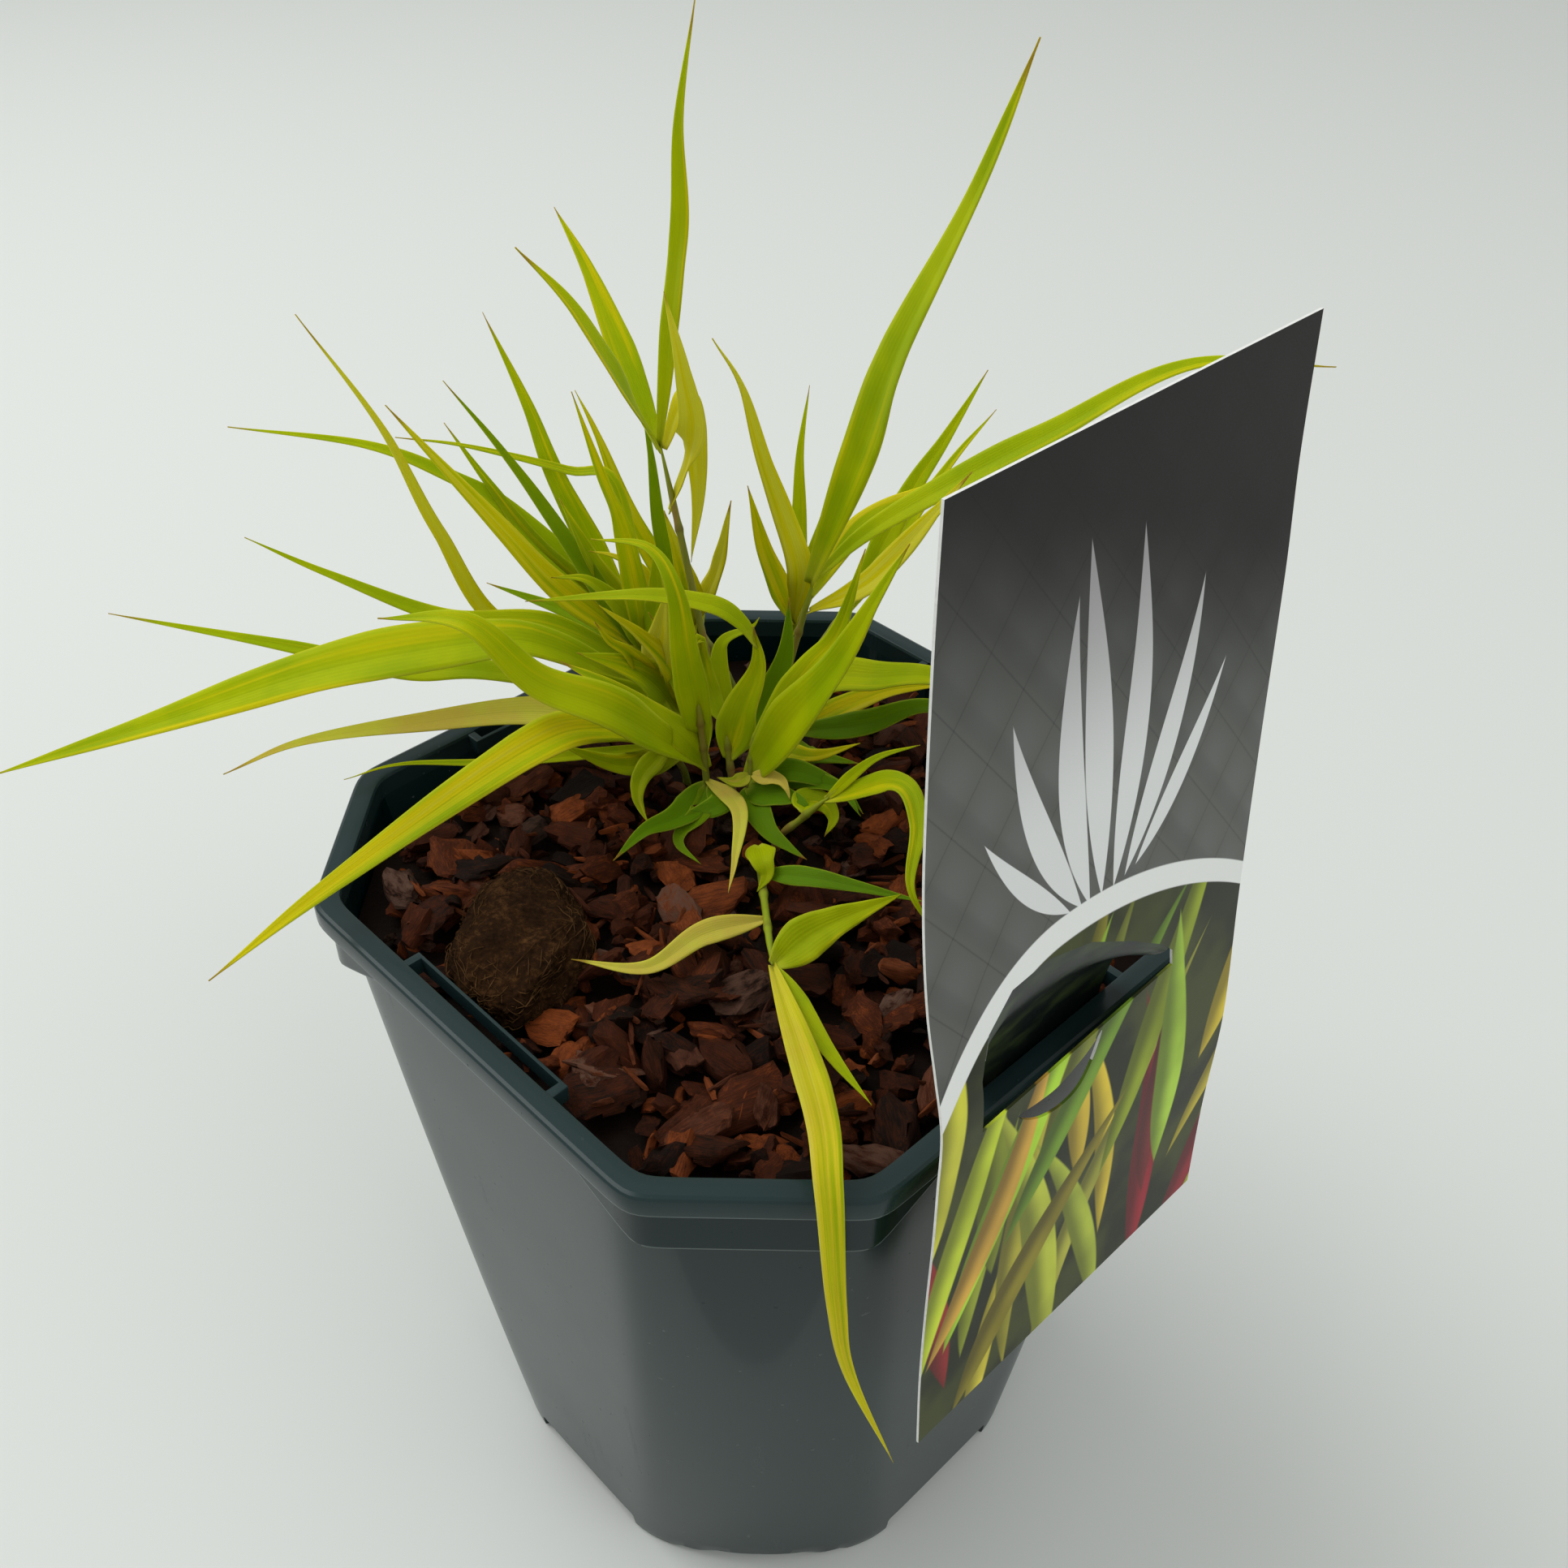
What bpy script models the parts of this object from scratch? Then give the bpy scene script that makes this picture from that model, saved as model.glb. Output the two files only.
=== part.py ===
# Japanese forest grass in a square plastic nursery pot, with bark mulch, a clod of peat and a care card.
# Metres, +Z up. The origin is the middle of the pot's base, and the pot's front corner face looks along -Y.
import bpy
import bmesh
import math
import random
from mathutils import Matrix, Vector, noise

MM = 0.001
GAP = 0.3 * MM

# Pot: a square with wide corner chamfers, which turns into a round base
POT_HEIGHT = 190 * MM
SIDE_DISTANCE = 85 * MM
CHAMFER_DISTANCE = 97.3 * MM
BASE_RADIUS = 67 * MM
WALL = 1.5 * MM
FLOOR = 2 * MM
CONE_SLOPE = 0.18
FACET_SLOPE = 0.103
COLLAR_BOTTOM = 172 * MM
BAND_BOTTOM = 184.7 * MM
BODY_INSET = 3.6 * MM
COLLAR_INSET = 2.5 * MM
RIM_WIDTH = 5.5 * MM
CORNER_POWER = 80
NOTCH_HEIGHT = 6 * MM
NOTCH_ANGLE = 31
NOTCH_REACH = 15 * MM

# Card loops: thin bars inside the rim, one on each long side
LOOP_LENGTH = 50 * MM
LOOP_DEPTH = 4 * MM
LOOP_OUTER = 75.8 * MM
LOOP_BAR = 1.3 * MM

# Soil and mulch
SOIL_TOP = 172 * MM
MULCH_TOP = 177 * MM
STEM_FOOT = 165 * MM
CULM_RADIUS = 1.0 * MM
HOLE_RADIUS = 1.7 * MM
CHIP_COUNT = 88
CHIP_SEED = 11

# Clod of peat that lies on the mulch
CLOD_CENTRE = Vector((-52, -27)) * MM
CLOD_SIZE = Vector((27, 42, 17)) * MM

# Care card that hooks over the right front side by a tongue. Each curve is pairs of height and distance from
# the axis, and each outline is pairs of distance along the card and height, all in mm.
CARD_THICKNESS = 0.8 * MM
CARD_CURVE = [(323, 78), (290, 80), (262, 82), (240, 84.5), (220, 88), (204, 90.3), (186, 92.3),
              (155, 94.3), (121, 96)]
CARD_TOP_SPAN = (-43, 50)
CARD_BOTTOM_SPAN = (-50, 43)
WINDOW = [(-36, 202), (22.5, 202), (22, 206), (18, 210), (8, 217), (-4, 224), (-16, 227.5), (-26, 227),
          (-33, 222), (-36, 214)]
CRESCENT = [(-25.5, 197.5), (-20, 192.5), (-13, 190), (-7, 190.7), (-3, 195), (-0.5, 201), (-3.5, 199),
            (-8, 197.3), (-14, 196), (-20, 196.6)]
TONGUE_CURVE = [(230, 86), (222, 85.2), (212, 82.6), (200, 80.1), (190, 79), (183, 79)]
TONGUE_TOP_SPAN = (-26, -8)
TONGUE_BOTTOM_SPAN = (-21, 20)

# Leaves
BLADE_THICKNESS = 0.6 * MM
BLADE_ROWS = 7
BLADE_FOLD = 0.16
CAMERA_SIDE = Vector((0, -0.45, 0.9))

# Each stem: its foot in the mulch and its head in mm, then its blades.
# Each blade: width, roll in degrees, and the points that its midrib passes, from the culm to the tip.
STEMS = {
    "stem_tall_left": ((-11, 47), (-26, 60, 258), [
        (5.0, 0, [(-26, 60, 257), (-23, 58, 281), (-19, 50, 309), (-18, 44, 332), (-14, 38, 355)]),
        (6.5, 0, [(-26, 60, 256), (-32, 68, 269), (-42, 80, 289), (-50, 88, 301)]),
        (7.0, 0, [(-26, 60, 255), (-33, 46, 279), (-40, 36, 299), (-49, 30, 313)]),
        (7.0, 0, [(-24, 60, 240), (-18, 50, 262), (-19, 43, 283), (-22, 42, 300)]),
        (6.0, 0, [(-25, 60, 256), (-20, 66, 266), (-18, 68, 243), (-20, 64, 224)]),
    ]),
    "stem_tall_right": ((0, 56), (10, 60, 223), [
        (11.5, 0, [(9, 60, 221), (19, 50, 259), (26, 40, 289), (38, 25, 327), (45, 15, 355)]),
        (7.0, 0, [(9, 60, 221), (26, 60, 238), (62, 60, 261), (91, 60, 278), (123, 60, 278)]),
        (8.0, 0, [(9, 58, 214), (23, 45, 231), (36, 35, 255), (42, 30, 267)]),
        (6.0, 0, [(9, 60, 217), (21, 72, 230), (35, 78, 236), (48, 82, 239)]),
    ]),
    "stem_front_left": ((-15, 28), (-17, 30, 212), [
        (8.0, 0, [(-16, 31, 192), (-19, 28, 219), (-21, 28, 238), (-27, 33, 246), (-40, 38, 245)]),
        (14.0, 0, [(-16, 30, 188), (-34, 14, 215), (-50, 10, 226), (-63, 8, 242), (-85, 20, 235)]),
        (4.5, 0, [(-15, 28, 185), (-7, 14, 188), (-7, -6, 190), (-8, -17, 190)]),
        (8.0, 0, [(-15, 28, 184), (-20, 14, 186), (-28, 4, 189), (-34, -6, 189)]),
    ]),
    "stem_front_mid": ((-9, 30), (-11, 34, 200), [
        (10.5, 0, [(-10, 32, 191), (-8, 34, 201), (-3, 34, 216), (-8, 36, 226), (-24, 38, 230), (-57, 42, 226)]),
        (9.0, 0, [(-10, 32, 188), (-3, 43, 194), (3, 45, 209), (4, 47, 225)]),
    ]),
    "stem_front_right": ((-5, 25), (-4, 29, 199), [
        (12.5, 0, [(-5, 27, 186), (4, 22, 206), (15, 15, 228), (22, 8, 249), (28, 5, 264)]),
        (7.5, 0, [(-4, 28, 195), (8, 29, 216), (15, 26, 229), (20, 20, 254)]),
        (7.0, 0, [(-5, 27, 184), (5, 24, 189), (16, 16, 193), (21, 6, 193)]),
    ]),
    "stem_right_low": ((5, 44), (8, 44, 198), [
        (9.5, 0, [(7, 44, 196), (15, 40, 207), (25, 35, 211), (37, 30, 215), (57, 35, 206)]),
        (7.5, 0, [(6, 44, 188), (22, 38, 195), (37, 32, 205), (54, 20, 207)]),
        (6.5, 0, [(6, 44, 189), (27, 50, 196), (46, 52, 198)]),
    ]),
    "stem_right_runner": ((2, 12), (14, 8, 197), [
        (7.0, 0, [(13, 9, 195), (28, -2, 209), (32, -14, 208), (30, -30, 204), (36, -36, 196)]),
        (3.0, 0, [(13, 9, 195), (23, 6, 209), (33, 4, 215)]),
    ]),
    "stem_front_runner": ((-2, 5), (2, -37, 188), [
        (6.0, 0, [(0, -20, 185), (-13, -27, 187), (-24, -38, 188), (-40, -35, 187)]),
        (10.0, 0, [(2, -36, 187), (12, -30, 192), (29, -22, 195)]),
        (5.0, 0, [(-1, -4, 184), (12, -10, 188), (35, -18, 189)]),
        (9.0, 0, [(2, -36, 187), (11, -80, 197), (13, -99, 196), (15, -106, 172), (18, -106, 150), (28, -105, 116)]),
        (5.0, 0, [(2, -36, 187), (13, -62, 191), (21, -80, 196)]),
    ]),
    "stem_left_low": ((-21, 37), (-29, 32, 198), [
        (11.0, 0, [(-24, 35, 190), (-39, 20, 206), (-53, 0, 214), (-89, -28, 201), (-115, -40, 184)]),
        (7.5, 0, [(-27, 34, 195), (-55, 33, 201), (-83, 29, 200), (-110, 25, 197), (-128, 20, 191)]),
        (3.0, 0, [(-25, 34, 191), (-60, 24, 193), (-85, 20, 195), (-98, 15, 194)]),
        (8.0, 0, [(-22, 36, 186), (-35, 27, 190), (-48, 20, 201)]),
    ]),
    "stem_left_mid": ((-21, 47), (-32, 50, 198), [
        (13.5, 0, [(-31, 50, 195), (-52, 45, 211), (-67, 40, 216), (-103, 32, 213), (-142, 27, 201), (-184, 22, 188)]),
        (6.0, 0, [(-29, 49, 192), (-70, 54, 198), (-91, 52, 199), (-115, 48, 208), (-155, 42, 221)]),
        (10.0, 0, [(-22, 47, 190), (-31, 42, 206), (-45, 36, 216)]),
        (6.0, 0, [(-23, 47, 192), (-24, 45, 205), (-30, 42, 216), (-39, 36, 229)]),
    ]),
    "stem_left_up": ((-17, 52), (-33, 60, 203), [
        (7.5, 0, [(-33, 60, 201), (-52, 60, 218), (-63, 55, 237), (-76, 50, 259), (-83, 45, 273)]),
        (5.0, 0, [(-31, 59, 197), (-51, 66, 230), (-63, 64, 253), (-74, 62, 271)]),
        (6.5, 0, [(-30, 58, 195), (-55, 58, 209), (-79, 52, 215), (-103, 45, 231), (-118, 40, 243)]),
        (6.0, 0, [(-32, 59, 200), (-33, 56, 220), (-35, 52, 240), (-38, 46, 257), (-42, 40, 279)]),
    ]),
    "stem_back_left": ((-16, 68), (-36, 74, 201), [
        (6.0, 0, [(-34, 73, 197), (-56, 72, 220), (-69, 75, 238), (-79, 78, 253)]),
        (7.0, 0, [(-36, 74, 199), (-52, 76, 237), (-59, 80, 257), (-68, 84, 278)]),
        (6.0, 0, [(-34, 73, 198), (-63, 75, 229), (-78, 72, 242), (-96, 68, 252), (-124, 60, 260)]),
        (5.0, 0, [(-30, 73, 193), (-67, 66, 203), (-79, 58, 235), (-86, 50, 265), (-97, 40, 295)]),
        (6.0, 0, [(-28, 72, 192), (-54, 80, 199), (-75, 84, 205)]),
    ]),
    "stem_back_mid": ((-10, 72), (-22, 79, 200), [
        (6.0, 0, [(-21, 78, 198), (-35, 80, 225), (-43, 82, 248), (-48, 84, 259)]),
        (5.0, 0, [(-20, 78, 195), (-28, 78, 221), (-30, 78, 246), (-32, 80, 260)]),
    ]),
    "stem_back_right": ((-1, 76), (6, 72, 204), [
        (7.0, 0, [(5, 72, 202), (6, 66, 222), (-2, 60, 252), (-7, 56, 273), (-13, 52, 286)]),
        (5.0, 0, [(5, 73, 200), (6, 76, 227), (6, 78, 246), (8, 82, 262)]),
        (6.0, 0, [(4, 73, 197), (12, 74, 228), (17, 78, 249)]),
    ]),
    "stem_far_right": ((5, 76), (22, 84, 204), [
        (7.0, 0, [(21, 84, 202), (33, 88, 229), (42, 90, 245), (51, 92, 262)]),
        (5.0, 0, [(19, 83, 198), (42, 95, 232), (55, 100, 248)]),
    ]),
}

# Colours as linear RGB
COLOURS = {
    "pot": ((0.045, 0.06, 0.065), 0.4),
    "potting_soil": ((0.03, 0.02, 0.013), 0.95),
    "bark_mulch": ((0.11, 0.045, 0.022), 0.85),
    "peat_clod": ((0.05, 0.03, 0.015), 0.95),
    "care_card": ((0.12, 0.13, 0.12), 0.35),
    "leaf": ((0.35, 0.42, 0.04), 0.45),
}


def clear_scene():
    for old in list(bpy.data.objects):
        bpy.data.objects.remove(old, do_unlink=True)


def new_collection(name):
    collection = bpy.data.collections.new(name)
    bpy.context.scene.collection.children.link(collection)
    return collection


def material(name):
    colour, roughness = COLOURS[name]
    found = bpy.data.materials.get(name)
    if found:
        return found
    made = bpy.data.materials.new(name)
    made.use_nodes = True
    shader = made.node_tree.nodes["Principled BSDF"]
    shader.inputs["Base Color"].default_value = (*colour, 1)
    shader.inputs["Roughness"].default_value = roughness
    made.diffuse_color = (*colour, 1)
    return made


def object_from_bmesh(bm, name, collection, look=None):
    mesh = bpy.data.meshes.new(name)
    bm.to_mesh(mesh)
    bm.free()
    obj = bpy.data.objects.new(name, mesh)
    collection.objects.link(obj)
    if look:
        mesh.materials.append(material(look))
    return obj


def hide_as_cutter(obj):
    obj.hide_render = True
    obj.display_type = "WIRE"


def add_boolean(obj, other, operation, solver="EXACT"):
    step = obj.modifiers.new(operation.lower(), "BOOLEAN")
    step.operation = operation
    step.solver = solver
    if isinstance(other, bpy.types.Collection):
        step.operand_type = "COLLECTION"
        step.collection = other
    else:
        step.object = other
    return step


def apply_modifiers(obj):
    graph = bpy.context.evaluated_depsgraph_get()
    graph.update()
    made = bpy.data.meshes.new_from_object(obj.evaluated_get(graph))
    obj.modifiers.clear()
    old = obj.data
    obj.data = made
    bpy.data.meshes.remove(old)


def keep_largest_piece(obj):
    """Drops the loose scraps that a union leaves, and fills the hollows that it seals."""
    bm = bmesh.new()
    bm.from_mesh(obj.data)
    waiting = set(bm.verts)
    pieces = []
    while waiting:
        piece = {waiting.pop()}
        front = list(piece)
        while front:
            for edge in front.pop().link_edges:
                for vert in edge.verts:
                    if vert in waiting:
                        waiting.remove(vert)
                        piece.add(vert)
                        front.append(vert)
        pieces.append(piece)
    pieces.sort(key=len)
    for piece in pieces[:-1]:
        bmesh.ops.delete(bm, geom=list(piece), context="VERTS")
    bm.to_mesh(obj.data)
    bm.free()


def box(name, low, high, turn=0.0):
    low, high = Vector(low), Vector(high)
    bm = bmesh.new()
    bmesh.ops.create_cube(bm, size=1)
    bmesh.ops.scale(bm, vec=high - low, verts=bm.verts)
    bmesh.ops.translate(bm, vec=(low + high) / 2, verts=bm.verts)
    bmesh.ops.rotate(bm, cent=(0, 0, 0), matrix=Matrix.Rotation(turn, 3, "Z"), verts=bm.verts)
    return object_from_bmesh(bm, name, cutters)


# Pot sections

def octagon_radius(angle, side, chamfer):
    """Distance from the axis to a square with chamfered, slightly rounded corners."""
    total = 0.0
    for face in range(8):
        distance = chamfer if face % 2 == 0 else side
        facing = math.cos(angle - face * math.pi / 4)
        if facing > 0:
            total += (facing / distance) ** CORNER_POWER
    return total ** (-1 / CORNER_POWER)


def body_radius(angle, z):
    drop = (COLLAR_BOTTOM - z) * FACET_SLOPE
    square = octagon_radius(angle, SIDE_DISTANCE - BODY_INSET - drop, CHAMFER_DISTANCE - BODY_INSET - drop)
    cone = BASE_RADIUS + CONE_SLOPE * z
    return (square ** -CORNER_POWER + cone ** -CORNER_POWER) ** (-1 / CORNER_POWER)


def rim_radius(angle, inset):
    return octagon_radius(angle, SIDE_DISTANCE - inset, CHAMFER_DISTANCE - inset)


def inner_radius(angle, z):
    """Inside of the wall: straight down from the rim, then parallel to the body."""
    return min(body_radius(angle, z) - WALL, rim_radius(angle, RIM_WIDTH))


def sector_angles():
    """Angles of the loft's corners: closer together near each corner of the square."""
    half_chamfer = SIDE_DISTANCE * math.sqrt(2) - CHAMFER_DISTANCE
    corner = math.atan2(half_chamfer, CHAMFER_DISTANCE)
    eighth = math.pi / 4
    near = [0, corner * 0.45, corner * 0.8, corner]
    far = [corner + (eighth - corner) * step for step in (0.1, 0.36, 0.68)]
    first = near + far
    both = first + [eighth] + [2 * eighth - angle for angle in reversed(first[1:])]
    return [quarter * math.pi / 2 + angle for quarter in range(4) for angle in both]


def loft(rings, name, collection, look, low_pole, high_pole):
    """Closed surface through rings of points, with a fan at each end."""
    bm = bmesh.new()
    rows = [[bm.verts.new(point) for point in ring] for ring in rings]
    count = len(rows[0])
    for lower, upper in zip(rows, rows[1:]):
        for i in range(count):
            j = (i + 1) % count
            bm.faces.new((lower[i], lower[j], upper[j]))
            bm.faces.new((lower[i], upper[j], upper[i]))
    bottom, top = bm.verts.new(low_pole), bm.verts.new(high_pole)
    for i in range(count):
        j = (i + 1) % count
        bm.faces.new((bottom, rows[0][j], rows[0][i]))
        bm.faces.new((top, rows[-1][i], rows[-1][j]))
    bmesh.ops.recalc_face_normals(bm, faces=bm.faces)
    return object_from_bmesh(bm, name, collection, look)


def ring(z, radius):
    return [(radius(a) * math.cos(a), radius(a) * math.sin(a), z) for a in sector_angles()]


INNER_LEVELS = [COLLAR_BOTTOM, 135 * MM, 95 * MM, 45 * MM]


def make_pot():
    edge = 0.8 * MM
    rings = [ring(0, lambda a: body_radius(a, 0) - edge)]
    for z in [edge] + INNER_LEVELS[::-1]:
        rings.append(ring(z, lambda a, z=z: body_radius(a, z)))
    for z in (COLLAR_BOTTOM + 1 * MM, BAND_BOTTOM):
        rings.append(ring(z, lambda a: rim_radius(a, COLLAR_INSET)))
    for z in (BAND_BOTTOM + 0.4 * MM, POT_HEIGHT - edge):
        rings.append(ring(z, lambda a: rim_radius(a, 0)))
    rings.append(ring(POT_HEIGHT, lambda a: rim_radius(a, edge)))
    rings.append(ring(POT_HEIGHT, lambda a: rim_radius(a, RIM_WIDTH - edge)))
    rings.append(ring(POT_HEIGHT - edge, lambda a: rim_radius(a, RIM_WIDTH)))
    for z in INNER_LEVELS + [FLOOR]:
        rings.append(ring(z, lambda a, z=z: inner_radius(a, z)))
    pot = loft(rings, "pot", part, "pot", (0, 0, 0), (0, 0, FLOOR))

    loops = new_collection("card_loops")
    for quarter in range(4):
        turn = math.radians(45 + 90 * quarter)
        half = LOOP_LENGTH / 2
        top = POT_HEIGHT - 0.4 * MM
        bar = box("card_loop", (LOOP_OUTER, -half, top - LOOP_DEPTH),
                  (SIDE_DISTANCE - RIM_WIDTH + 1 * MM, half, top), turn)
        cutters.objects.unlink(bar)
        loops.objects.link(bar)
    add_boolean(pot, loops, "UNION")
    apply_modifiers(pot)
    for bar in list(loops.objects):
        bpy.data.objects.remove(bar)
    bpy.data.collections.remove(loops)

    openings = new_collection("pot_openings")
    for quarter in range(4):
        turn = math.radians(45 + 90 * quarter)
        inner = BASE_RADIUS - NOTCH_REACH
        half = math.tan(math.radians(NOTCH_ANGLE / 2)) * BASE_RADIUS
        notch = box("drain_notch", (inner, -half, -1 * MM), (BASE_RADIUS + 10 * MM, half, NOTCH_HEIGHT), turn)
        slot_half = LOOP_LENGTH / 2 - 2 * MM
        slot = box("card_slot", (LOOP_OUTER + LOOP_BAR, -slot_half, POT_HEIGHT - 3 * LOOP_DEPTH),
                   (SIDE_DISTANCE - RIM_WIDTH + 0.4 * MM, slot_half, POT_HEIGHT + LOOP_DEPTH), turn)
        for cutter in (notch, slot):
            cutters.objects.unlink(cutter)
            openings.objects.link(cutter)
            hide_as_cutter(cutter)
    add_boolean(pot, openings, "DIFFERENCE")
    apply_modifiers(pot)
    for cutter in list(openings.objects):
        bpy.data.objects.remove(cutter)
    bpy.data.collections.remove(openings)
    pot.data.shade_smooth()
    pot.data.set_sharp_from_angle(angle=math.radians(25))
    return pot


def stem_holes(low, high):
    """Round cutters where the stems stand."""
    holes = new_collection("stem_holes")
    for foot, head, blades in STEMS.values():
        bm = bmesh.new()
        bmesh.ops.create_cone(bm, cap_ends=True, segments=7, radius1=HOLE_RADIUS, radius2=HOLE_RADIUS,
                              depth=high - low)
        bmesh.ops.translate(bm, vec=(foot[0] * MM, foot[1] * MM, (high + low) / 2), verts=bm.verts)
        hole = object_from_bmesh(bm, "stem_hole", holes)
        hide_as_cutter(hole)
    return holes


def drill(obj, low, high):
    holes = stem_holes(low, high)
    add_boolean(obj, holes, "DIFFERENCE")
    apply_modifiers(obj)
    for hole in list(holes.objects):
        bpy.data.objects.remove(hole)
    bpy.data.collections.remove(holes)


def make_soil():
    low = FLOOR + GAP
    rings = [ring(z, lambda a, z=z: inner_radius(a, z) - GAP) for z in INNER_LEVELS + [low]]
    soil = loft(rings, "potting_soil", part, "potting_soil", (0, 0, SOIL_TOP), (0, 0, low))
    drill(soil, STEM_FOOT - 1 * MM, SOIL_TOP + 1 * MM)
    return soil


# Bark mulch: a thin bed with loose chips lying in it

def clear_of_stems(centre, reach):
    """Whether a chip lies clear of every foot, and of the culms that lean low over the mulch."""
    return all((Vector(foot).lerp(Vector(head[:2]), share) * MM - centre).length > reach
               for foot, head, blades in STEMS.values() for share in (0, 0.3, 0.6))


def make_chip(rng, place, bottom):
    length = rng.uniform(10, 24) * MM
    width = length * rng.uniform(0.35, 0.6)
    thick = rng.uniform(3.2, 5.2) * MM
    bm = bmesh.new()
    bmesh.ops.create_cone(bm, cap_ends=True, segments=5, radius1=0.5, radius2=rng.uniform(0.36, 0.48), depth=1)
    for vert in bm.verts:
        vert.co.x *= rng.uniform(0.8, 1.1)
        vert.co.y *= rng.uniform(0.8, 1.1)
    bmesh.ops.scale(bm, vec=(length, width, thick), verts=bm.verts)
    tilt = Matrix.Rotation(math.radians(rng.uniform(-13, 13)), 3, "Y")
    tilt = tilt @ Matrix.Rotation(math.radians(rng.uniform(-12, 12)), 3, "X")
    spin = Matrix.Rotation(rng.uniform(0, math.tau), 3, "Z")
    bmesh.ops.rotate(bm, cent=(0, 0, 0), matrix=spin @ tilt, verts=bm.verts)
    bmesh.ops.translate(bm, vec=(place.x, place.y, bottom + thick * 0.3), verts=bm.verts)
    lift = STEM_FOOT + 9 * MM - min(vert.co.z for vert in bm.verts)
    if lift > 0:
        bmesh.ops.translate(bm, vec=(0, 0, lift), verts=bm.verts)
    return bm, length / 2


def make_mulch():
    rng = random.Random(CHIP_SEED)
    low = SOIL_TOP + GAP
    edge = 0.7 * MM
    rings = [ring(low, lambda a: inner_radius(a, SOIL_TOP) - GAP - edge),
             ring(MULCH_TOP, lambda a: inner_radius(a, SOIL_TOP) - GAP - edge)]
    mulch = loft(rings, "bark_mulch", part, "bark_mulch", (0, 0, low), (0, 0, MULCH_TOP))
    chips = new_collection("chips")
    clod_reach = max(CLOD_SIZE.x, CLOD_SIZE.y) / 2
    golden = math.radians(137.5)
    reach = SIDE_DISTANCE - RIM_WIDTH - 6 * MM
    for i in range(CHIP_COUNT):
        distance = reach * math.sqrt((i + 0.5) / CHIP_COUNT)
        place = Vector((distance * math.cos(i * golden), distance * math.sin(i * golden)))
        bm, half = make_chip(rng, place, MULCH_TOP)
        inside = all(math.hypot(v.co.x, v.co.y) < inner_radius(math.atan2(v.co.y, v.co.x), SOIL_TOP) - 1 * MM
                     for v in bm.verts)
        clear = clear_of_stems(place, half * 1.1 + 2 * MM) and (place - CLOD_CENTRE).length > clod_reach + half
        if inside and clear:
            object_from_bmesh(bm, "chip", chips)
        else:
            bm.free()
    add_boolean(mulch, chips, "UNION")
    apply_modifiers(mulch)
    for chip in list(chips.objects):
        bpy.data.objects.remove(chip)
    bpy.data.collections.remove(chips)
    drill(mulch, SOIL_TOP - 1 * MM, MULCH_TOP + 12 * MM)
    return mulch


def make_clod():
    bm = bmesh.new()
    bmesh.ops.create_icosphere(bm, subdivisions=3, radius=0.5)
    for vert in bm.verts:
        lump = noise.noise(vert.co * 3.1 + Vector((3, 1, 2)))
        vert.co *= 1 + 0.22 * lump
    bmesh.ops.scale(bm, vec=CLOD_SIZE, verts=bm.verts)
    seat = -0.32 * CLOD_SIZE.z
    bmesh.ops.bisect_plane(bm, geom=bm.verts[:] + bm.edges[:] + bm.faces[:], plane_co=(0, 0, seat),
                           plane_no=(0, 0, -1), clear_outer=True)
    bmesh.ops.holes_fill(bm, edges=[edge for edge in bm.edges if edge.is_boundary])
    bmesh.ops.translate(bm, vec=(*CLOD_CENTRE, MULCH_TOP + GAP - seat), verts=bm.verts)
    return object_from_bmesh(bm, "peat_clod", part, "peat_clod")


# Care card

def curve_point(curve, step):
    """Height and distance at a step from 0 to 1 along a list of such pairs, with smooth bends."""
    at = step * (len(curve) - 1)
    i = min(int(at), len(curve) - 2)
    near = [curve[max(0, min(len(curve) - 1, k))] for k in (i - 1, i, i + 1, i + 2)]
    t = at - i
    both = []
    for axis in (0, 1):
        a, b, c, d = (point[axis] for point in near)
        both.append(0.5 * (2 * b + (c - a) * t + (2 * a - 5 * b + 4 * c - d) * t * t
                           + (3 * b - a - 3 * c + d) * t ** 3))
    return both


def card_sheet(name, curve, top_span, bottom_span, columns, rows, collection):
    """A curved sheet, thickened to the card's thickness, that faces the right front side."""
    along = Vector((1, 1, 0)).normalized()
    outward = Vector((1, -1, 0)).normalized()
    bm = bmesh.new()
    bmesh.ops.create_grid(bm, x_segments=columns, y_segments=rows, size=0.5)
    for vert in bm.verts:
        across, down = vert.co.x + 0.5, 0.5 - vert.co.y
        z, distance = curve_point(curve, down)
        left = top_span[0] + (bottom_span[0] - top_span[0]) * down
        right = top_span[1] + (bottom_span[1] - top_span[1]) * down
        t = left + (right - left) * across
        vert.co = (along * t + outward * distance + Vector((0, 0, z))) * MM
    bmesh.ops.recalc_face_normals(bm, faces=bm.faces)
    bmesh.ops.triangulate(bm, faces=bm.faces)
    sheet = object_from_bmesh(bm, name, collection, "care_card")
    thick = sheet.modifiers.new("thickness", "SOLIDIFY")
    thick.thickness = CARD_THICKNESS
    thick.offset = 0
    apply_modifiers(sheet)
    return sheet


def card_cutter(outline, name):
    """A cutter with the outline, given as pairs of distance along the card and height, that runs through the card."""
    along = Vector((1, 1, 0)).normalized()
    outward = Vector((1, -1, 0)).normalized()
    start, end = SIDE_DISTANCE - 12 * MM, SIDE_DISTANCE + 20 * MM
    bm = bmesh.new()
    verts = [bm.verts.new(along * t * MM + outward * start + Vector((0, 0, z * MM))) for t, z in outline]
    face = bm.faces.new(verts)
    extruded = bmesh.ops.extrude_face_region(bm, geom=[face])
    moved = [item for item in extruded["geom"] if isinstance(item, bmesh.types.BMVert)]
    bmesh.ops.translate(bm, vec=outward * (end - start), verts=moved)
    bmesh.ops.recalc_face_normals(bm, faces=bm.faces)
    cutter = object_from_bmesh(bm, name, cutters)
    hide_as_cutter(cutter)
    return cutter


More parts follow.
